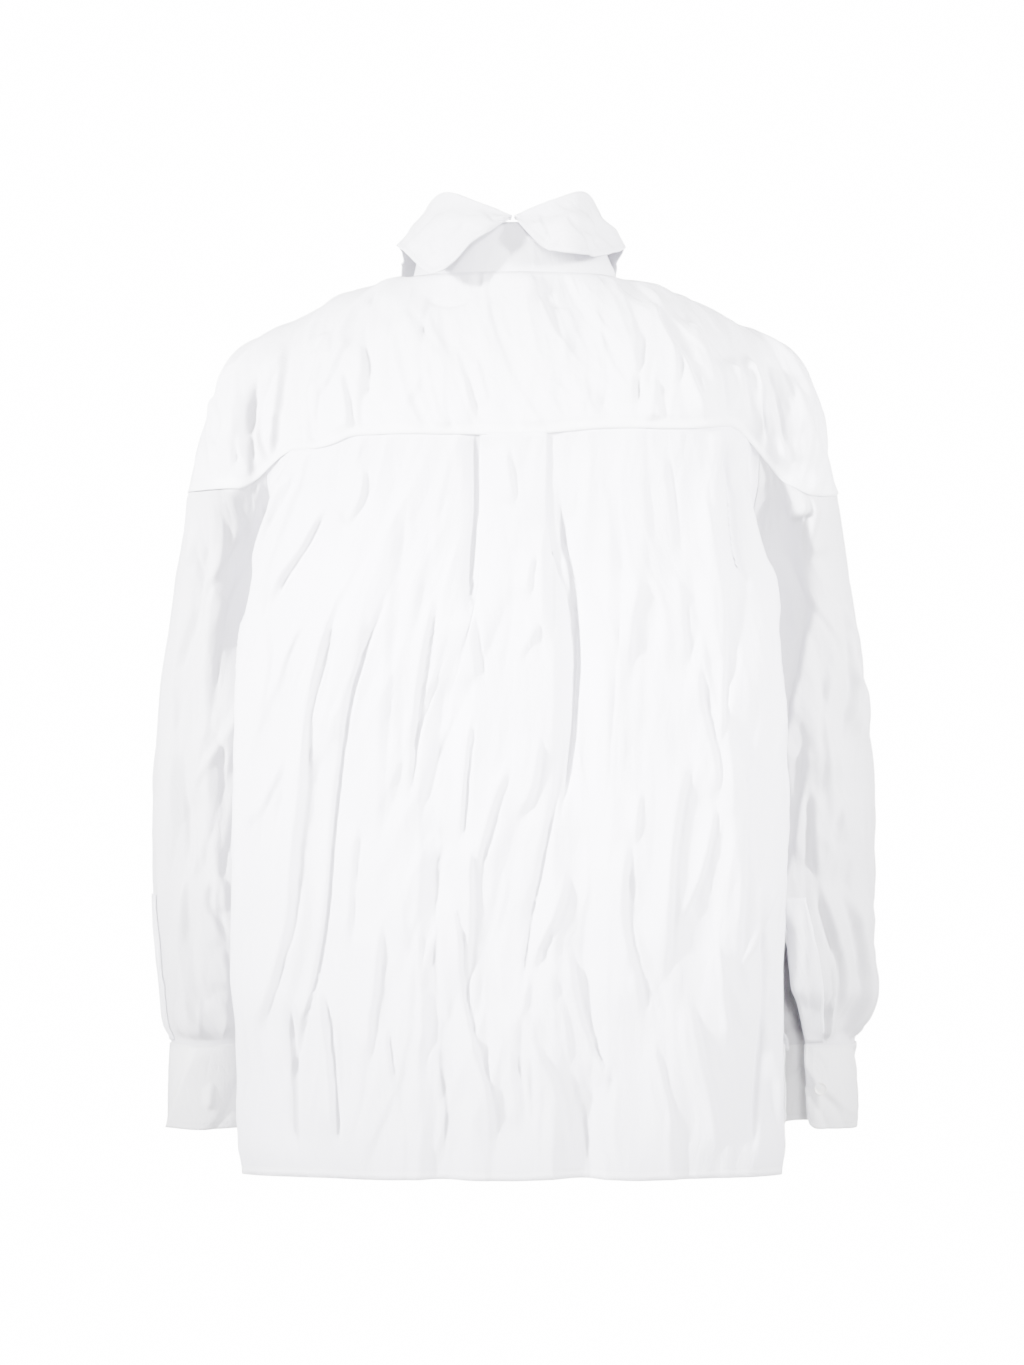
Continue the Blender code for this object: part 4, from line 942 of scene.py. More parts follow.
def cotton(name, colour, seams=(), bands=(), warm=0.0, fine=1.0):
    """Washed cotton. seams are (edge, distance) of rows of stitches, and bands are (edge, width) where the
    cloth is doubled under and shows whiter."""
    values = {"Roughness": 0.9, "Specular IOR Level": 0.25, "Sheen Weight": 0.2, "Sheen Roughness": 0.5}
    material, shader, start = new_material(name, values)
    cloth = start.node("ShaderNodeUVMap", {"uv_map": "cloth"})
    maps = {key: start.node("ShaderNodeUVMap", {"uv_map": key}) for key in ("near", "far")}
    parts = {key: start.node("ShaderNodeSeparateXYZ", {}, {0: wire}) for key, wire in maps.items()}

    def from_edge(edge):
        key, axis = EDGES[edge]
        return parts[key].other_output(axis)

    across = start.node("ShaderNodeSeparateXYZ", {}, {0: cloth})
    down = across.other_output(1)
    cloud = noise_wire(start, cloth, 9.0, 3.0, 0.55, (1.0, 0.45, 1.0))
    fleck = noise_wire(start, cloth, 420.0, 2.0, 0.6, (1.0, 0.35, 1.0))
    tint = (cloud - 0.5) * CLOUD_SHADE + (fleck - 0.5) * FLECK_SHADE + 1.0
    dim = (0.93 - warm * 0.1, 0.93 - warm * 0.1, 0.945 - warm * 0.9)
    base = start.mixed((tint - 0.94) / 0.12, tuple(c * k for c, k in zip(colour, dim)), colour)
    ridge = None
    for edge, width in bands:
        mask = from_edge(edge).below(width)
        base = start.mixed(mask * 0.35, base, BAND_COLOUR)
        ridge = mask if ridge is None else ridge.larger(mask)
    thread = None
    for edge, distance in seams:
        along = down if edge in ("left", "right") else across
        row = (from_edge(edge) - distance).size().below(bpy.context.scene.shirt_sizes.thread)
        stitch = row * (along / STITCH_PITCH).fraction().below(0.68)
        # the hollow beside the stitches is dented in the bump and also darkened with painted shade
        hollow = (from_edge(edge) - distance).size().below(SEAM_HOLLOW) * (1.0 - stitch)
        base = start.mixed(hollow * 0.10, base, SEAM_SHADE_COLOUR)
        part = stitch * 1.0 - hollow * 0.6
        thread = part if thread is None else thread + part
    warp, weft = [
        (place * (2 * math.pi / pitch)).maths("SINE", place * (2 * math.pi / pitch))
        for place, pitch in ((across, WARP_PITCH), (down, WEFT_PITCH))
    ]
    crinkle = noise_wire(start, cloth, 240.0, 3.0, 0.55, (1.0, 0.6, 1.0))
    broad = noise_wire(start, cloth, 80.0, 2.0, 0.5, (1.0, 0.4, 1.0))
    height = warp * weft * WEAVE_HEIGHT + (crinkle - 0.5).size() * (CRINKLE_HEIGHT * fine)
    height = height + (broad - 0.5).size() * (BROAD_HEIGHT * fine)
    if ridge is not None:
        height = height + ridge * 0.00012
    if thread is not None:
        height = height + thread * 0.0002
    bump = start.node("ShaderNodeBump", {}, {"Strength": 1.0, "Distance": 1.0, "Height": height})
    base.feed(shader.inputs["Base Color"])
    bump.feed(shader.inputs["Normal"])
    (0.86 + (fleck - 0.5) * 0.12).feed(shader.inputs["Roughness"])
    return material


def plastic(name, colour):
    """Pearly button plastic with faint streaks."""
    material, shader, start = new_material(name, {"Coat Weight": 0.3, "Coat Roughness": 0.15})
    place = start.node("ShaderNodeTexCoord", {}, {}, 3)
    streak = noise_wire(start, place, 900.0, 2.0, 0.5, (1.0, 1.0, 0.3))
    base = start.mixed(streak, [c * 0.9 for c in colour], [min(1.0, c * 1.06) for c in colour])
    base.feed(shader.inputs["Base Color"])
    (0.22 + streak * 0.12).feed(shader.inputs["Roughness"])
    return material


def plain(name, colour, roughness):
    """One colour, very slightly cloudy."""
    material, shader, start = new_material(name, {"Roughness": roughness})
    place = start.node("ShaderNodeTexCoord", {}, {}, 3)
    cloud = noise_wire(start, place, 3.0, 2.0, 0.5)
    start.mixed(cloud, [c * 0.985 for c in colour], colour).feed(shader.inputs["Base Color"])
    return material


# Pieces


def put(name, data):
    """A new object in the scene."""
    made = bpy.data.objects.new(name, data)
    bpy.context.scene.collection.objects.link(made)
    return made


def mesh_data(name, mesh):
    """A bmesh made into a mesh."""
    data = bpy.data.meshes.new(name)
    mesh.to_mesh(data)
    mesh.free()
    return data


def mirrored(grid):
    """A grid turned to the wearer's right, its outer face still outside."""
    return (grid * MIRROR)[:, ::-1]


def for_side(side, points, u, v):
    """A panel made for the wearer's left, with its flat coordinates, turned to its own side."""
    return (points, u, v) if side > 0 else (mirrored(points), -u[:, ::-1], v[:, ::-1])


def fade(values, edge, width):
    """Nought at an edge, one past this distance from it."""
    return smooth_step(np.abs(values - edge) / width)


def edge_fade(u, v, width=0.014, edges="left right top bottom", least=0.0):
    """One inside a panel and least at its named edges."""
    made = np.ones(u.shape)
    if "left" in edges:
        made = np.minimum(made, fade(u, u[:, :1], width))
    if "right" in edges:
        made = np.minimum(made, fade(u, u[:, -1:], width))
    if "top" in edges:
        made = np.minimum(made, fade(v, v[:1], width))
    if "bottom" in edges:
        made = np.minimum(made, fade(v, v[-1:], width))
    return least + (1 - least) * made


def facets(u, v, cell_u, cell_v, seed):
    """Heights of cloth broken into long flat facets with sharp edges."""
    u = u + cell_u * 0.8 * noise(u, v, cell_u * 1.7, cell_v * 1.3, seed + 1)
    v = v + cell_v * 0.6 * noise(u, v, cell_u * 1.9, cell_v * 1.7, seed + 2)
    values = np.random.default_rng(seed).uniform(-1, 1, (64, 64))
    x, y = u / cell_u + 20.3, v / cell_v + 20.7
    i, j = np.floor(x).astype(int), np.floor(y).astype(int)
    a, b = x - i, y - j
    i, j, p, q = i % 64, j % 64, (i + 1) % 64, (j + 1) % 64
    low = values[i, j] + a * (values[p, j] - values[i, j]) + b * (values[p, q] - values[p, j])
    high = values[i, j] + b * (values[i, q] - values[i, j]) + a * (values[p, q] - values[i, q])
    return np.where(a > b, low, high)


def wrung(u, v, seed, amount=1.0, leans=(), spread=1.0):
    """All the small crumpling of one panel."""
    total = crumple(u, v, seed, leans, spread)
    for high, wide, long, more in FACETS:
        total = total + high * facets(u, v, wide, long, seed + more)
    total = total - total.mean()
    total = MOST_LIFT * np.tanh(total / MOST_LIFT)
    return amount * bpy.context.scene.shirt_sizes.crumple * total


def extend(points, uv, edges, amount):
    """A panel carried past some of its edges, over its neighbour: each edge gets one more line of points."""
    grids = [points, *uv]
    for edge in edges:
        if edge in ("left", "right"):
            grids = [np.swapaxes(grid, 0, 1) for grid in grids]
        if edge in ("right", "bottom"):
            grids = [grid[::-1] for grid in grids]
        grid = grids[0]
        step = grid[0] - grid[1]
        step = step / np.maximum(np.linalg.norm(step, axis=-1, keepdims=True), 1e-9)
        rows = [np.vstack([(grid[0] + step * amount)[None], grid])]
        for flat in grids[1:]:
            change = flat[0] - flat[1]
            change = np.sign(change) * amount * (np.abs(change) > 1e-4)
            rows.append(np.vstack([(flat[0] + change)[None], flat]))
        if edge in ("right", "bottom"):
            rows = [grid[::-1] for grid in rows]
        if edge in ("left", "right"):
            rows = [np.swapaxes(grid, 0, 1) for grid in rows]
        grids = rows
    return grids[0], tuple(grids[1:])


def laid_out(points, uv):
    """How a panel's points are cut flat: its greatest width and length, and its area."""
    width = float((uv[0][:, -1] - uv[0][:, 0]).max())
    length = float((uv[1][-1] - uv[1][0]).max())
    return (width, length), min(flat_area(points), width * length)


def new_piece(name, points, uv, material, turn=1, keep=None, weld=False):
    """A cloth wall whose outer face follows a grid of points. uv is the flat cloth's own coordinates, turn
    is -1 where the columns run clockwise seen from above, and keep says which squares there are."""
    rows, count = points.shape[:2]
    mesh = bmesh.new()
    bmesh.ops.create_grid(mesh, x_segments=count - 1, y_segments=rows - 1, size=1.0)
    if keep is not None:
        gone = []
        for face in mesh.faces:
            centre = face.calc_center_median()
            j, i = int((centre.x + 1) / 2 * (count - 1)), int((1 - centre.y) / 2 * (rows - 1))
            if not keep[i, j]:
                gone.append(face)
        bmesh.ops.delete(mesh, geom=gone, context="FACES")
    data = mesh_data(name, mesh)
    at = np.zeros(len(data.vertices) * 3)
    data.vertices.foreach_get("co", at)
    at = at.reshape(-1, 3)
    j = np.rint((at[:, 0] + 1) / 2 * (count - 1)).astype(int)
    i = np.rint((1 - at[:, 1]) / 2 * (rows - 1)).astype(int)
    data.vertices.foreach_set("co", points[i, j].ravel())
    loops = np.zeros(len(data.loops), int)
    data.loops.foreach_get("vertex_index", loops)
    u, v = uv
    layers = {
        "cloth": (u, -v),
        "near": (u - u[:, :1], v - v[:1]),
        "far": (u[:, -1:] - u, v[-1:] - v),
    }
    while data.uv_layers:
        data.uv_layers.remove(data.uv_layers[0])
    for key, (x, y) in layers.items():
        layer = data.uv_layers.new(name=key)
        layer.data.foreach_set("uv", np.stack([x[i, j], y[i, j]], 1)[loops].ravel())
    data.uv_layers.active_index = 0
    if turn < 0:
        data.flip_normals()
    if weld:
        mesh = bmesh.new()
        mesh.from_mesh(data)
        bmesh.ops.remove_doubles(mesh, verts=mesh.verts, dist=2e-5)
        mesh.to_mesh(data)
        mesh.free()
    data.polygons.foreach_set("use_smooth", np.ones(len(data.polygons), bool))
    data.update()
    piece = put(name, data)
    piece.data.materials.append(material)
    return piece


def declare(piece, node, wall, cut):
    """Gives a cloth piece its wall, hides the frame's part that it replaces and attaches it to the root."""
    shell = piece.modifiers.new("wall", "SOLIDIFY")
    shell.thickness = wall
    shell.offset = -1
    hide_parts(node)
    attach(piece, "root")


def cotton_colours():
    """The white of doubled cloth, and the greyer white of single cloth, partly painted shade of the dark
    hollow inside.
    """
    colours = bpy.context.scene.shirt_colours
    return tuple(colours.cotton), tuple(colours.shade)


# Yoke and back


def make_yoke():
    white, _ = cotton_colours()
    form = yoke_form(*YOKE_GRID)
    normal = outward(form, 1)
    uv = spans(form)
    u, v = uv
    x, z = form[..., 0], form[..., 2]
    behind = smooth_step((form[..., 1] + 0.02) / 0.05)
    calm = edge_fade(u, v, CALM_EDGE, least=0.05)
    lift = YOKE_MAIN * main_creases(YOKE_CREASES, x, z) * behind + YOKE_DENTS * facets(u, v, 0.036, 0.055, 41)
    beside = 0.6 + 0.4 * smooth_step((np.abs(x) - 0.08) / 0.07)
    lift = lift + wrung(u, v, 11, YOKE_SMALL, YOKE_LEANS, 1.7) * beside
    # the top of the shoulder is drawn nearly smooth over the arm
    shoulder = np.exp(-(((form[..., 1] + 0.004) / 0.030) ** 2)) * smooth_step((np.abs(x) - 0.05) / 0.04)
    lift = lift * (1 - 0.65 * shoulder)
    cut = laid_out(form, uv)
    hem = np.minimum(np.minimum(u - u[:, :1], u[:, -1:] - u), v[-1:] - v)
    proud = 0.0007 * (1 - smooth_step(hem / 0.006))
    points = form + normal * (lift * calm + proud)[..., None]
    points, uv = extend(points, uv, ("left", "right", "bottom"), 0.0022)
    seams = [("bottom", 0.0016), ("top", 0.0016)]
    material = cotton("yoke_cotton", white, seams, [("bottom", 0.0085)], fine=0.7)
    piece = new_piece("yoke_cloth", points, uv, material)
    declare(piece, "yoke", YOKE_WALL, cut)


def pleat_columns(side, heights):
    """Place from the centre and level of each column of half the box pleat, at each height: rows of both."""
    table = columns(["z", "open"], PLEAT_OPENING[side])
    ajar = np.interp(heights, table["z"], table["open"])[:, None, None]
    shut, wide = np.array(PLEAT_SHUT), np.array(PLEAT_OPEN)
    turns = shut + (wide - shut) * smooth_step(ajar)
    made = []
    for k, steps in enumerate(PLEAT_STEPS):
        for t in np.linspace(0, 1, steps + 1)[:-1]:
            made.append(turns[:, k] * (1 - t) + turns[:, k + 1] * t)
    last = turns[:, len(PLEAT_STEPS)]
    for t in np.linspace(0, 1, PLEAT_CENTRE_STEPS):
        place = last[:, 0] * (1 - t)
        level = last[:, 1] + (PLEAT_CENTRE - last[:, 1]) * math.sin(t * math.pi / 2)
        made.append(np.stack([place, level], 1))
    return np.stack(made, 1)


def corner_rise(z, from_side):
    """How much the hem rises at its rounded corners, by the distance from the side seam."""
    corner = smooth_step((CORNER_REACH - from_side) / CORNER_REACH) * smooth_step((z + 0.66) / -0.039)
    return CORNER_RISE * corner


def make_back():
    _, thin_shaded = cotton_colours()
    form, normal = hang(back_section, even_line(back_seam(), BACK_TOP), HEM, 1, PANEL_STEP)
    rows, count = form.shape[:2]
    run = np.linalg.norm(np.diff(form, axis=1), axis=2).sum(1)
    heights = form[:, count // 2, 2]
    halves = []
    for side in (1, -1):
        pleat = pleat_columns(side, heights)
        start = (run / 2)[:, None]
        t = np.linspace(0, 1, BACK_OUTER + 1)[:-1]
        place = start + (pleat[:, :1, 0] - start) * t
        level = pleat[:, :1, 1] * smooth_step((t - 0.93) / 0.07)
        place, level = np.hstack([place, pleat[..., 0]]), np.hstack([level, pleat[..., 1]])
        halves.append((side * place, level))
    (left, left_level), (right, right_level) = halves
    place = np.hstack([left[:, :-1], right[:, ::-1]])
    level = np.hstack([left_level[:, :-1], right_level[:, ::-1]])
    column = (0.5 - place / run[:, None]) * (count - 1)
    row = np.arange(rows)[:, None] * np.ones(column.shape)
    base, out = read_grid(form, row, column), read_grid(normal, row, column)
    x, z = base[..., 0], base[..., 2]
    across = np.abs(np.diff(place, axis=1))
    u = np.hstack([np.zeros((rows, 1)), np.cumsum(across, axis=1)])
    v = spans(form)[1][:, :1] * np.ones(place.shape)
    u = u - u[:, -1:] / 2
    calm = edge_fade(u, v, CALM_EDGE, "left right top", least=0.05)
    under = smooth_step((np.abs(place) - 0.030) / 0.02) + smooth_step((-0.22 - z) / 0.06)
    small = np.clip(under, 0.4, 1.0) * wrung(place, v, 21, BACK_SMALL, BACK_LEANS)
    lift = BACK_MAIN * main_creases(BACK_CREASES, x, z) + small
    hem = 1 - 0.4 * smooth_step((z + 0.650) / -0.05)
    curl = 0.35 + 0.65 * smooth_step((np.abs(place) - 0.09) / 0.05)
    lift = lift - 0.0045 * curl * smooth_step((z + 0.676) / -0.024)
    points = base + out * (level + lift * calm * hem)[..., None]
    points[..., 2] += 0.0015 * noise(place, v, 0.05, 0.4, 77) * smooth_step((z + 0.60) / -0.09)
    points[..., 2] += corner_rise(z, run[:, None] / 2 - np.abs(place))
    material = cotton("back_cotton", thin_shaded, [("bottom", HEM_STITCHES)], [("bottom", HEM_BAND)])
    piece = new_piece("back_cloth", points, (u, v), material)
    declare(piece, "back", SHEET_WALL, laid_out(base, (u, v)))


# Fronts


def shared_ripple(x, z):
    """Ripples that both fronts follow where they lap."""
    return 0.0012 * noise(x, z, 0.045, 0.060, 91) + 0.0008 * noise(x, z, 0.020, 0.035, 92)


def front_cloth(side):
    """One front, for the wearer's left, with the flat cloth's coordinates."""
    form, normal = hang(front_section, front_top(FRONT_COUNT), HEM, 1, PANEL_STEP)
    uv = spans(form)
    u, v = uv
    x, z = form[..., 0], form[..., 2]
    from_centre = u - u[:, :1] - FRONT_LAP
    inner = smooth_step((from_centre - 0.020) / 0.03)
    calm = edge_fade(u, v, CALM_EDGE, "right top", least=0.05)
    down = smooth_step((-0.075 - z) / 0.05)
    small = wrung(u, v, 31 if side > 0 else 37, 1.0, FRONT_LEANS)
    lift = inner * calm * (main_creases(FRONT_CREASES, x, z) + small)
    lift = lift + (1 - inner) * shared_ripple(side * x, z) * down
    if side < 0:
        lift = lift - 0.0028 * smooth_step((0.063 - from_centre) / 0.028) * smooth_step((v - v[:1]) / 0.04)
    points = form + normal * lift[..., None]
    points[..., 2] += corner_rise(z, u[:, -1:] - u)
    return points, form, uv


def make_fronts():
    white, thin_shaded = cotton_colours()
    for side, word in SIDES:
        points, form, (u, v) = front_cloth(side)
        cut = laid_out(form, (u, v))
        points, u, v = for_side(side, points, u, v)
        seams = [("bottom", HEM_STITCHES)]
        if side < 0:
            seams.append(("right", 0.026))
        material = cotton("front_cotton_" + word, thin_shaded, seams, [("bottom", HEM_BAND)])
        piece = new_piece("front_%s_cloth" % word, points, (u, v), material)
        declare(piece, "front_" + word, SHEET_WALL, cut)
        if side > 0:
            make_placket(points, white)


def make_placket(front, white):
    """The button placket lies on the wearer's left front, over its edge."""
    low, high = [corner[2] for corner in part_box("front_placket")]
    lines = []
    start = int(np.argmax(front[:, 4, 2] < high - 0.004))
    out = outward(front, 1)
    spots = np.linspace(-PLACKET_HALF, PLACKET_HALF, 14)
    for i in range(start, len(front)):
        column = np.interp(spots, front[i, :30, 0], np.arange(30))
        row = np.full(14, i)
        lines.append(read_grid(front, row, column) + 0.0015 * read_grid(out, row, column))
    strip = np.array(lines)
    strip[0, :, 2] = high - 0.001
    strip[-1, :, 2] = max(low, strip[-1, 0, 2])
    uv = spans(strip)
    material = cotton("placket_cotton", white, [("left", 0.003), ("right", 0.003)], fine=0.7)
    piece = new_piece("placket_cloth", strip, uv, material)
    declare(piece, "front_placket", STRIP_WALL, laid_out(strip, uv))


# Sleeves


def sleeve_cloth(side):
    """A sleeve for the wearer's left: points, form, flat coordinates and the squares it keeps."""
    top = even_line(sleeve_seam(side), 4 * SLEEVE_HALF + 1)
    form, normal = hang(sleeve_section, top, CUFF_TOP - SLEEVE_TUCK, -1, SLEEVE_STEP)
    rows, fine = form.shape[:2]
    slit = SLIT_AT[side]
    left_count = int(round(2 * SLEEVE_HALF * slit))
    right_count = 2 * SLEEVE_HALF - left_count
    shares = np.r_[np.linspace(0, slit, left_count + 1), np.linspace(slit, 1, right_count + 1)]
    is_left = np.arange(len(shares)) <= left_count
    mean_z = form[..., 2].mean(1)
    part = np.clip((SLIT_TOP - mean_z) / (SLIT_TOP - CUFF_TOP), 0, 1)[:, None] ** 0.8
    spread = np.where(is_left, SLIT_SPREAD[side][0], SLIT_SPREAD[side][1])
    near = 1 - smooth_step(np.abs(shares - slit) / 0.22)
    share = shares + part * spread * near
    column = np.clip(share, 0, 1) * (fine - 1)
    row = np.arange(rows)[:, None] * np.ones(column.shape)
    base, out = read_grid(form, row, column), read_grid(normal, row, column)
    run = np.linalg.norm(np.diff(form, axis=1), axis=2).sum(1)[:, None]
    v = read_grid(spans(form)[1], row, column)
    u = (share - 0.5) * run
    flat = (shares - 0.5) * run
    calm = edge_fade(u, v, 0.008, "left right top", least=0.0)
    x, z = base[..., 0], base[..., 2]
    cuff = smooth_step((z - CUFF_TOP) / 0.010)
    seen = smooth_step((out[..., 1] - 0.20) / 0.45)
    lift = main_creases(SLEEVE_CREASES[side], share * 0.3, z)
    behind = SLEEVE_BACK_MAIN[side] * main_creases(SLEEVE_BACK[side], x, z)
    lift = lift * (1 - 0.6 * seen) + behind * seen
    lift = lift + wrung(u, v, 41 if side > 0 else 43, SLEEVE_SMALL, SLEEVE_LEANS, 1.2)
    pleats = gathers(share, np.maximum(z - CUFF_TOP, 0), side)
    smooth = 1 - 0.6 * smooth_step((out[..., 0] - 0.70) / 0.25)
    points = base + out * ((lift * calm * smooth + pleats) * cuff)[..., None]
    line = cuff_section(CUFF_TOP)
    middle = line.mean(0)
    inside = at_lengths(middle + (line - middle) * 0.95, np.clip(share, 0, 1) * lengths(line)[-1] * 0.95)
    meet = smooth_step((CUFF_TOP + 0.012 - z) / 0.013)[..., None]
    points[..., :2] += (inside - points[..., :2]) * meet
    keep = np.ones((rows - 1, len(shares) - 1), bool)
    keep[:, left_count] = False
    return points, base, (flat, v), keep, share, left_count


def gathers(share, up, side):
    """Tucks where the sleeve is taken in to its cuff, and the puckers between them."""
    total = np.zeros(share.shape)
    for place, width, long, high in CUFF_TUCKS[side]:
        b = (share - place) * 0.28
        fall = np.clip(1 - up / long, 0, 1)
        total += high * fall**0.8 * np.exp(-np.abs(b) / width) * np.where(b > 0, 1.0, 0.45)
    return total


def make_sleeves():
    white, thin_shaded = cotton_colours()
    # painted shade: the sleeves' cloth is coloured darker than the body's
    painted_shade_grey = tuple(c * k for c, k in zip(thin_shaded, SLEEVE_SHADE))
    for side, word in SIDES:
        points, base, (u, v), keep, share, slit = sleeve_cloth(side)
        cut = laid_out(base, (u, v))
        strip, strip_uv = sleeve_strip(points, share, slit, side)
        points, u, v = for_side(side, points, u, v)
        if side < 0:
            keep, strip = keep[:, ::-1], mirrored(strip)
        material = cotton("sleeve_cotton_" + word, painted_shade_grey, [], [], warm=0.02)
        piece = new_piece("sleeve_%s_cloth" % word, points, (u, v), material, -1, keep, weld=True)
        declare(piece, "sleeve_" + word, SHEET_WALL, cut)
        seams = [("left", 0.002), ("right", 0.002)]
        material = cotton("sleeve_placket_cotton_" + word, white, seams, fine=0.6)
        piece = new_piece("sleeve_placket_%s_cloth" % word, strip, strip_uv, material, -1)
        declare(piece, "sleeve_placket_" + word, STRIP_WALL, laid_out(strip, strip_uv))


def sleeve_strip(points, share, slit, side):
    """The slit's placket: a strip along its edge."""
    out = outward(points, -1)
    mean_z = points[..., 2].mean(1)
    first = int(np.argmax(mean_z < SLIT_TOP + 0.004))
    rows = np.arange(first, int(np.argmax(mean_z < CUFF_TOP + 0.001)))
    edge = slit if side > 0 else slit + 1
    reach = STRIP_REACH[side]
    lines = []
    for i in rows:
        spots = np.linspace(share[i, edge] + reach[0], share[i, edge] + reach[1], 10)
        if side > 0:
            column = np.interp(spots, share[i, : slit + 1], np.arange(slit + 1))
        else:
            column = np.interp(spots, share[i, slit + 1 :], np.arange(slit + 1, share.shape[1]))
        here = np.full(10, float(i))
        normal = read_grid(out, here, column)
        normal /= np.maximum(np.linalg.norm(normal, axis=1, keepdims=True), 1e-9)
        lines.append(read_grid(points, here, column) + 0.0014 * normal)
    strip = np.array(lines)
    return strip, spans(strip)


# Cuffs


def cuff_section(z):
    """The wearer's left cuff at one height, once round from the inner side through the back."""
    c = read(CUFF, z)
    angle = np.linspace(-math.pi, math.pi, 241)[::-1]
    x = (c["outer"] + c["inner"]) / 2 + (c["outer"] - c["inner"]) / 2 * np.cos(angle)
    y = (c["back"] + c["front"]) / 2 + (c["back"] - c["front"]) / 2 * np.sin(angle)
    return np.stack([x, y], 1)


def cuff_cloth(side):
    """A cuff for the wearer's left: points, form and flat coordinates."""
    start, end = CUFF_OPEN[side][1], CUFF_OPEN[side][0] + 1
    share = np.linspace(start, end, 97)
    rows = []
    for down in np.linspace(0, 1, 30):
        z = CUFF_TOP - 0.0010 + (CUFF_BOTTOM + 0.0010 - CUFF_TOP) * down
        line = cuff_section(z)
        row = at_lengths(line, (share % 1.0) * lengths(line)[-1])
        rows.append(np.column_stack([row, np.full(len(row), z)]))
    form = np.array(rows)
    uv = spans(form)
    u, v = uv
    end = np.minimum(u - u[:, :1], u[:, -1:] - u)
    bite = np.clip(1 - end / CUFF_CORNER, 0, 1)
    raised = CUFF_CORNER * (1 - np.sqrt(1 - bite**2))
    form[..., 2] += raised * (v / v[-1:])
    lift = CUFF_SMALL * crumple(u, v, 51 if side > 0 else 53, (), 2.6, 0.5)
    main = CUFF_MAIN * main_creases(CUFF_BACK[side], form[..., 0], form[..., 2])
    lift = lift + main * (form[..., 1] > 0.0)
    lift = lift * edge_fade(u, v, 0.008, "top", 0.1)
    lift = np.clip(lift, -0.0035, 0.006)
    points = form + outward(form, -1) * (lift - 0.0004)[..., None]
    points[..., 2] += 0.0010 * noise(u, v, 0.03, 0.2, 55)
    return points, form, uv


def make_cuffs():
    white, _ = cotton_colours()
    # painted shade: the cuffs' cloth is coloured darker than the collar and yoke
    painted_shade_grey = tuple(c * k for c, k in zip(white, CUFF_SHADE))
    for side, word in SIDES:
        points, form, (u, v) = cuff_cloth(side)
        cut = laid_out(form, (u, v))
        points, u, v = for_side(side, points, u, v)
        seams = [(edge, 0.005) for edge in ("left", "right", "bottom")] + [("top", 0.0016)]
        material = cotton("cuff_cotton_" + word, painted_shade_grey, seams, warm=0.02)
        piece = new_piece("cuff_%s_cloth" % word, points, (u, v), material, -1)
        declare(piece, "cuff_" + word, BAND_WALL, cut)


# Collar


def stand_lean(angle):
    """How much nearer the neck the stand's top is than its foot, round the neck."""
    return (STAND_LEAN + STAND_SIDE_LEAN * np.cos(angle) ** 2)[:, None]


def stand_height(angle):
    """How high the stand is round the neck."""
    back = 0.5 + 0.5 * np.sin(angle)
    return STAND_FRONT_HEIGHT + (STAND_BACK_HEIGHT - STAND_FRONT_HEIGHT) * back


def make_stand():
    white, _ = cotton_colours()
    reach = STAND_FRONT_REACH / 0.08
    angle = np.linspace(-math.pi / 2 - reach, 1.5 * math.pi + reach, 190)
    foot = ring_point(0.0, angle)
    under = np.where(angle > math.pi / 2, 1.0, 0.0)
    out = np.stack([np.cos(angle), np.sin(angle), 0 * angle], 1)
    foot = foot - out * (0.0021 * under * smooth_step((-np.sin(angle) - 0.80) / 0.15))[:, None]
    rows = []
    for up in np.linspace(0, 1, 17):
        lift = np.stack([0 * angle, 0 * angle, -0.0030 + (stand_height(angle) + 0.0037) * up], 1)
        rows.append(foot - out * (stand_lean(angle) * up + 0.0009 * (1 - up) ** 4) + lift)
    form = np.array(rows)
    uv = spans(form)
    u, v = uv
    normal = outward(form, -1)
    lift = 0.5 * crumple(u, v, 61, (), 3.0, 1.2) * edge_fade(u, v, 0.010, "top left right", 0.1)
    lift = np.clip(lift, -0.0018, 0.0010)
    points = form + normal * lift[..., None]
    material = cotton("stand_cotton", white, [("top", 0.0020), ("bottom", 0.0020)], fine=0.7)
    piece = new_piece("collar_stand_cloth", points, uv, material, -1)
    declare(piece, "collar_stand", BAND_WALL, laid_out(form, uv))


def stand_top(angle):
    """The line just above the stand, for the leaves to start from."""
    out = np.stack([np.cos(angle), np.sin(angle), 0 * angle], 1)
    point = ring_point(0.0, angle) - out * stand_lean(angle)
    point[:, 2] += stand_height(angle) + 0.0014 + 0.00075
    return point


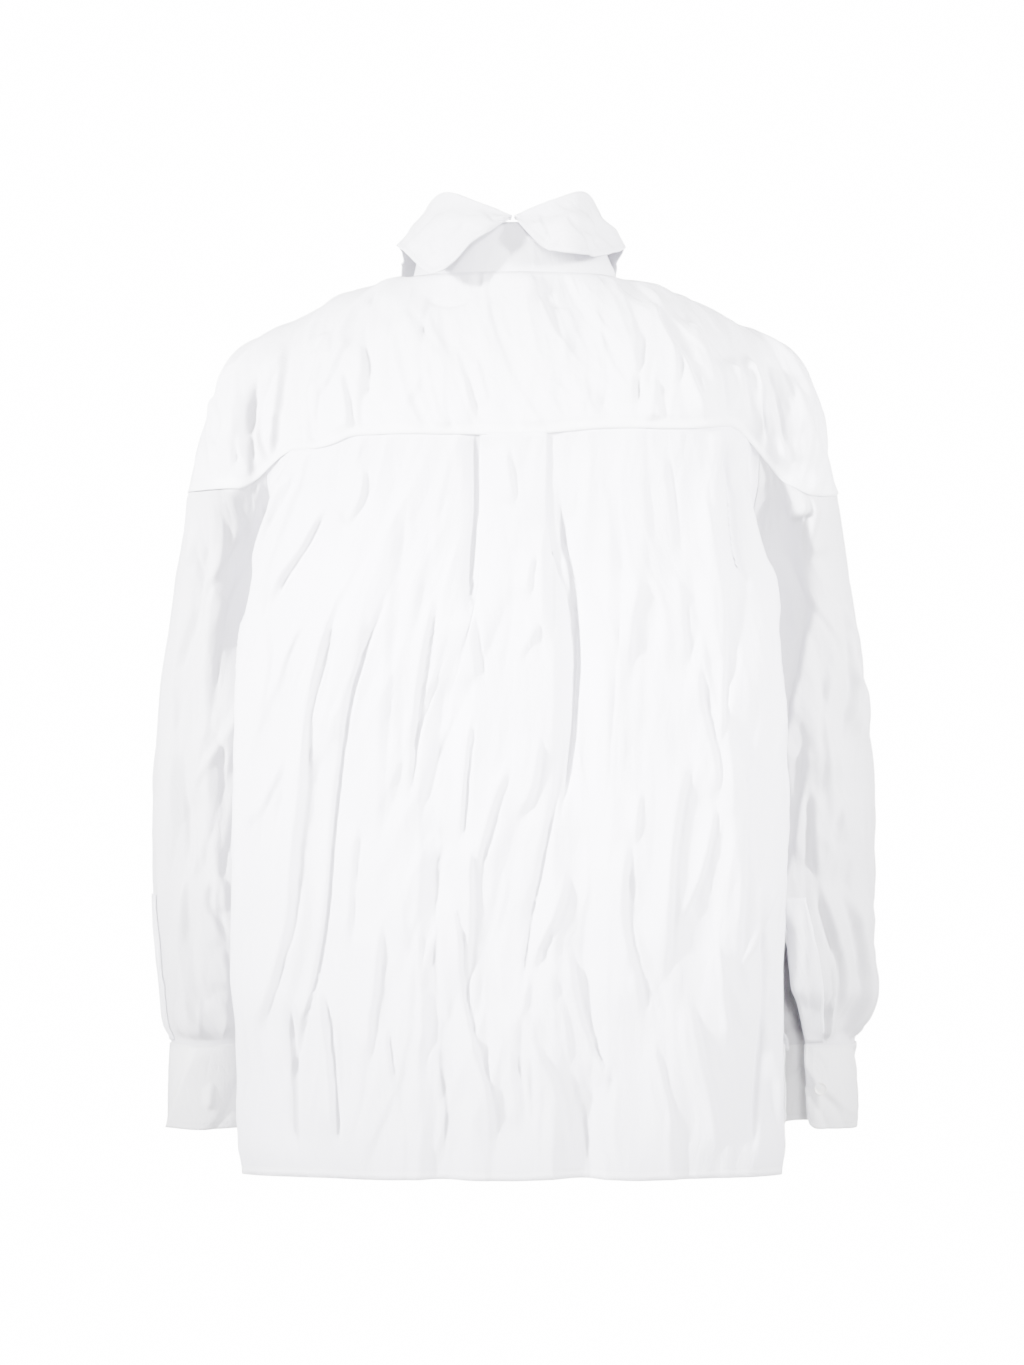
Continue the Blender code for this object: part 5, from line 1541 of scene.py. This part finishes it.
def leaf_cloth(side):
    """One half of the collar, for the wearer's left: rows from the stand over the fold to the free edge."""
    table = np.array(LEAF_ROWS_BY_SIDE[side])
    fine = np.linspace(0, len(table) - 1, 99)
    line = np.stack([cubic(np.arange(len(table)), table[:, k], fine) for k in range(6)], 1)
    fold, edge = line[:, :3], line[:, 3:]
    angle = np.linspace(math.pi / 2 - 0.02, -math.pi / 2 + 0.09, len(fine))
    foot = stand_top(angle)
    foot[:, 2] = np.minimum(foot[:, 2], fold[:, 2] - 0.001)
    fall = edge - fold
    run = np.linalg.norm(fall, axis=1, keepdims=True)
    away = fall * np.array([1.0, 1.0, 0.0])
    away /= np.linalg.norm(away, axis=1, keepdims=True)
    roll = LEAF_TURN * np.clip(run / 0.02, 0.75, 1.0) / 2
    rise = np.minimum(roll, 0.0022)
    up = np.array([0.0, 0.0, 1.0])
    inner, outer = fold - away * roll, fold + away * roll
    rows = [foot + (inner - foot) * t for t in np.linspace(0, 1, 8)[:-1]]
    for turn in np.linspace(math.pi, 0, 7):
        rows.append(fold + away * roll * math.cos(turn) + up * rise * (math.sin(turn) - 0.2))
    rows += [outer + (edge - outer) * t for t in np.linspace(0, 1, 27)[1:]]
    form = np.array(rows)
    uv = spans(form)
    u, v = uv
    share = (np.arange(len(rows)) / (len(rows) - 1))[:, None]
    loose = smooth_step((share - 0.38) / 0.3)
    small = LEAF_SMALL * crumple(u, v, 71 if side > 0 else 73, (), 3.0, 0.6)
    lift = small + 0.0048 * facets(u, v, 0.026, 0.022, 75 + side) + 0.0018
    lift = lift + 0.0030 * noise(u, v, 0.030, 0.040, 79 + side) * loose
    main = LEAF_MAIN * main_creases(LEAF_CREASES[side], form[..., 0], form[..., 2])
    lift = lift + main * (form[..., 1] > 0.03)
    points = form + outward(form, -1) * (np.clip(lift, -0.0018, 0.007) * (0.15 + 0.85 * loose))[..., None]
    return points, form, uv


def make_leaves():
    white, _ = cotton_colours()
    for side, word in SIDES:
        points, form, (u, v) = leaf_cloth(side)
        cut = laid_out(form, (u, v))
        points, u, v = for_side(side, points, u, v)
        seams = [("left", 0.005), ("right", 0.005), ("bottom", 0.005)]
        material = cotton("leaf_cotton_" + word, white, seams, fine=0.8)
        piece = new_piece("collar_leaf_%s_cloth" % word, points, (u, v), material, -1)
        declare(piece, "collar_leaf_" + word, BAND_WALL, cut)


# Buttons


def add_rod(mesh, segments, radius, long, place):
    bmesh.ops.create_cone(
        mesh, cap_ends=True, segments=segments, radius1=radius, radius2=radius, depth=long, matrix=place
    )


def button_mesh(radius):
    """A round button with a raised rim, axis along +Z and its back at z = 0; its holes and thread are added
    elsewhere.
    """
    mesh = bmesh.new()
    line = [mesh.verts.new((x * radius, 0, z * radius)) for x, z in BUTTON_PROFILE]
    edges = [mesh.edges.new(pair) for pair in zip(line, line[1:])]
    bmesh.ops.spin(
        mesh, geom=line + edges, cent=(0, 0, 0), axis=(0, 0, 1), angle=2 * math.pi, steps=36, use_merge=True
    )
    bmesh.ops.remove_doubles(mesh, verts=mesh.verts, dist=1e-7)
    bmesh.ops.recalc_face_normals(mesh, faces=mesh.faces)
    return mesh_data("button", mesh)


def drilled(data, radius):
    """The button with its four holes."""
    cutter = bmesh.new()
    for x, y in ((1, 1), (-1, 1), (-1, -1), (1, -1)):
        spot = mathutils.Matrix.Translation((x * 0.2 * radius, y * 0.2 * radius, 0.1 * radius))
        add_rod(cutter, 14, 0.11 * radius, radius, spot)
    solid, tool = put("button_blank", data), put("button_drill", mesh_data("button_holes", cutter))
    cut = solid.modifiers.new("holes", "BOOLEAN")
    cut.operation, cut.solver, cut.object = "DIFFERENCE", "EXACT", tool
    depsgraph = bpy.context.evaluated_depsgraph_get()
    result = bpy.data.meshes.new_from_object(solid.evaluated_get(depsgraph))
    for made in (solid, tool):
        bpy.data.objects.remove(made)
    return result


def make_buttons():
    radius = bpy.context.scene.shirt_sizes.button_radius
    blank = drilled(button_mesh(radius), radius)
    pearl = plastic("button_pearl", tuple(bpy.context.scene.shirt_colours.button))
    white, _ = cotton_colours()
    thread = plain("button_thread", white, 0.8)
    names = ["button_front_%d" % k for k in range(1, 7)]
    names += ["button_collar", "button_cuff_left", "button_cuff_right"]
    for name in names:
        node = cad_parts[name]
        at = np.array([v.co for v in node.data.vertices])
        centre = (at.min(0) + at.max(0)) / 2
        spread = np.linalg.svd(at - at.mean(0), full_matrices=False)[2]
        axis = mathutils.Vector(spread[2])
        outside = mathutils.Vector((0, -1, 0))
        if "cuff" in name:
            outside = mathutils.Vector(centre - (math.copysign(0.24, centre[0]), -0.037, centre[2]))
        if axis.dot(outside) < 0:
            axis = -axis
        turn = mathutils.Vector((0, 0, 1)).rotation_difference(axis).to_matrix().to_4x4()
        place = mathutils.Matrix.Translation(mathutils.Vector(centre) - axis * 0.0011)
        piece = put(name + "_piece", blank.copy())
        mesh = bmesh.new()
        mesh.from_mesh(piece.data)
        count = len(mesh.faces)
        for angle in (0.25 * math.pi, 0.75 * math.pi):
            spin = mathutils.Matrix.Rotation(angle, 4, "Z")
            lay = mathutils.Matrix.Rotation(math.pi / 2, 4, "X")
            lift = mathutils.Matrix.Translation((0, 0, 0.24 * radius))
            add_rod(mesh, 8, 0.055 * radius, 0.60 * radius, lift @ spin @ lay)
        bmesh.ops.transform(mesh, matrix=place @ turn, verts=mesh.verts)
        mesh.faces.ensure_lookup_table()
        for k, face in enumerate(mesh.faces):
            face.material_index = int(k >= count)
            face.smooth = True
        mesh.to_mesh(piece.data)
        mesh.free()
        piece.data.materials.clear()
        piece.data.materials.append(pearl)
        piece.data.materials.append(thread)
        piece.data.set_sharp_from_angle(angle=math.radians(40))
        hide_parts(name)
        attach(piece, "root")


# Stage


def aim(lamp, place, target):
    lamp.location = place
    way = mathutils.Vector(target) - mathutils.Vector(place)
    lamp.rotation_euler = way.to_track_quat("-Z", "Y").to_euler()


def make_stage():
    scene = bpy.context.scene
    mesh = bmesh.new()
    bmesh.ops.create_circle(mesh, cap_ends=True, segments=96, radius=4.6)
    bmesh.ops.translate(mesh, verts=mesh.verts, vec=(0, 0, -1.6))
    floor = put("floor", mesh_data("floor", mesh))
    floor.data.materials.append(plain("floor_paint", tuple(scene.shirt_colours.floor), 0.9))

    world = bpy.data.worlds.new("studio")
    world.use_nodes = True
    tree = world.node_tree
    sky = tree.nodes["Background"]
    sky.inputs["Color"].default_value = (1.0, 1.0, 1.0, 1.0)
    start = Wire(tree, sky.outputs[0])
    toward = start.node("ShaderNodeSeparateXYZ", {}, {0: start.node("ShaderNodeTexCoord")})
    reach = {"Value": toward.other_output(1), "From Min": BACKDROP_EDGE[0], "From Max": BACKDROP_EDGE[1]}
    light = {"To Min": ROOM_LIGHT, "To Max": BACKDROP_LIGHT}
    behind = start.node("ShaderNodeMapRange", {"interpolation_type": "SMOOTHSTEP"}, {**reach, **light})
    behind.feed(sky.inputs["Strength"])
    scene.world = world

    light = bpy.data.lights.new("front", "AREA")
    light.shape, light.size, light.energy = "DISK", FRONT_SIZE, FRONT_POWER
    aim(put("front", light), FRONT_LIGHT, FRONT_TARGET)

    for name, place, power, narrow in SPOTS:
        light = bpy.data.lights.new(name, "SPOT")
        light.energy, light.shadow_soft_size, light.color = power, SPOT_SIZE, SPOT_COLOUR
        light.spot_size, light.spot_blend = math.radians(SPOT_CONE), 1.0
        lamp = put(name, light)
        lamp.scale = (narrow, 1.0, 1.0)
        aim(lamp, place, SPOT_TARGET)

    lens = bpy.data.cameras.new("camera")
    lens.lens, lens.sensor_width = CAMERA_LENS, 36.0
    lens.clip_end = 100.0
    camera = put("camera", lens)
    camera.location = CAMERA_PLACE
    camera.rotation_euler = (math.radians(90), 0.0, math.radians(180))
    scene.camera = camera


# Add-on


class SHIRT_OT_yoke(bpy.types.Operator):
    """Make the yoke, which runs over both shoulders and the tops of the sleeves"""

    bl_idname = "shirt.yoke"
    bl_label = "Yoke"

    def execute(self, context):
        make_yoke()
        return {"FINISHED"}


class SHIRT_OT_back(bpy.types.Operator):
    """Make the back with its box pleat"""

    bl_idname = "shirt.back"
    bl_label = "Back"

    def execute(self, context):
        make_back()
        return {"FINISHED"}


class SHIRT_OT_fronts(bpy.types.Operator):
    """Make both fronts and the button placket"""

    bl_idname = "shirt.fronts"
    bl_label = "Fronts"

    def execute(self, context):
        make_fronts()
        return {"FINISHED"}


class SHIRT_OT_sleeves(bpy.types.Operator):
    """Make both sleeves, their slits and plackets"""

    bl_idname = "shirt.sleeves"
    bl_label = "Sleeves"

    def execute(self, context):
        make_sleeves()
        return {"FINISHED"}


class SHIRT_OT_cuffs(bpy.types.Operator):
    """Make both cuffs"""

    bl_idname = "shirt.cuffs"
    bl_label = "Cuffs"

    def execute(self, context):
        make_cuffs()
        return {"FINISHED"}


class SHIRT_OT_collar(bpy.types.Operator):
    """Make the collar stand and the two halves of the collar"""

    bl_idname = "shirt.collar"
    bl_label = "Collar"

    def execute(self, context):
        make_stand()
        make_leaves()
        return {"FINISHED"}


class SHIRT_OT_buttons(bpy.types.Operator):
    """Make all the buttons"""

    bl_idname = "shirt.buttons"
    bl_label = "Buttons"

    def execute(self, context):
        make_buttons()
        return {"FINISHED"}


class SHIRT_OT_stage(bpy.types.Operator):
    """Make the floor, the light and the camera"""

    bl_idname = "shirt.stage"
    bl_label = "Stage"

    def execute(self, context):
        make_stage()
        return {"FINISHED"}


OPERATORS = (
    SHIRT_OT_yoke,
    SHIRT_OT_back,
    SHIRT_OT_fronts,
    SHIRT_OT_sleeves,
    SHIRT_OT_cuffs,
    SHIRT_OT_collar,
    SHIRT_OT_buttons,
    SHIRT_OT_stage,
)


class SHIRT_PT_pieces(bpy.types.Panel):
    """The shirt's sizes, colours and pieces."""

    bl_label = "Crumpled Shirt"
    bl_idname = "SHIRT_PT_pieces"
    bl_space_type = "VIEW_3D"
    bl_region_type = "UI"
    bl_category = "Shirt"

    def draw(self, context):
        layout = self.layout
        for settings in (context.scene.shirt_sizes, context.scene.shirt_colours):
            for name in settings.__annotations__:
                layout.prop(settings, name)
        for kind in OPERATORS:
            layout.operator(kind.bl_idname)


CLASSES = (ShirtSizes, ShirtColours, *OPERATORS, SHIRT_PT_pieces)


def register():
    for kind in CLASSES:
        bpy.utils.register_class(kind)
    bpy.types.Scene.shirt_sizes = bpy.props.PointerProperty(type=ShirtSizes)
    bpy.types.Scene.shirt_colours = bpy.props.PointerProperty(type=ShirtColours)


def unregister():
    del bpy.types.Scene.shirt_colours
    del bpy.types.Scene.shirt_sizes
    for kind in reversed(CLASSES):
        bpy.utils.unregister_class(kind)


def main():
    register()
    for kind in OPERATORS:
        getattr(bpy.ops.shirt, kind.bl_idname.removeprefix("shirt."))()
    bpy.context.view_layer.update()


if __name__ == "__main__":
    main()
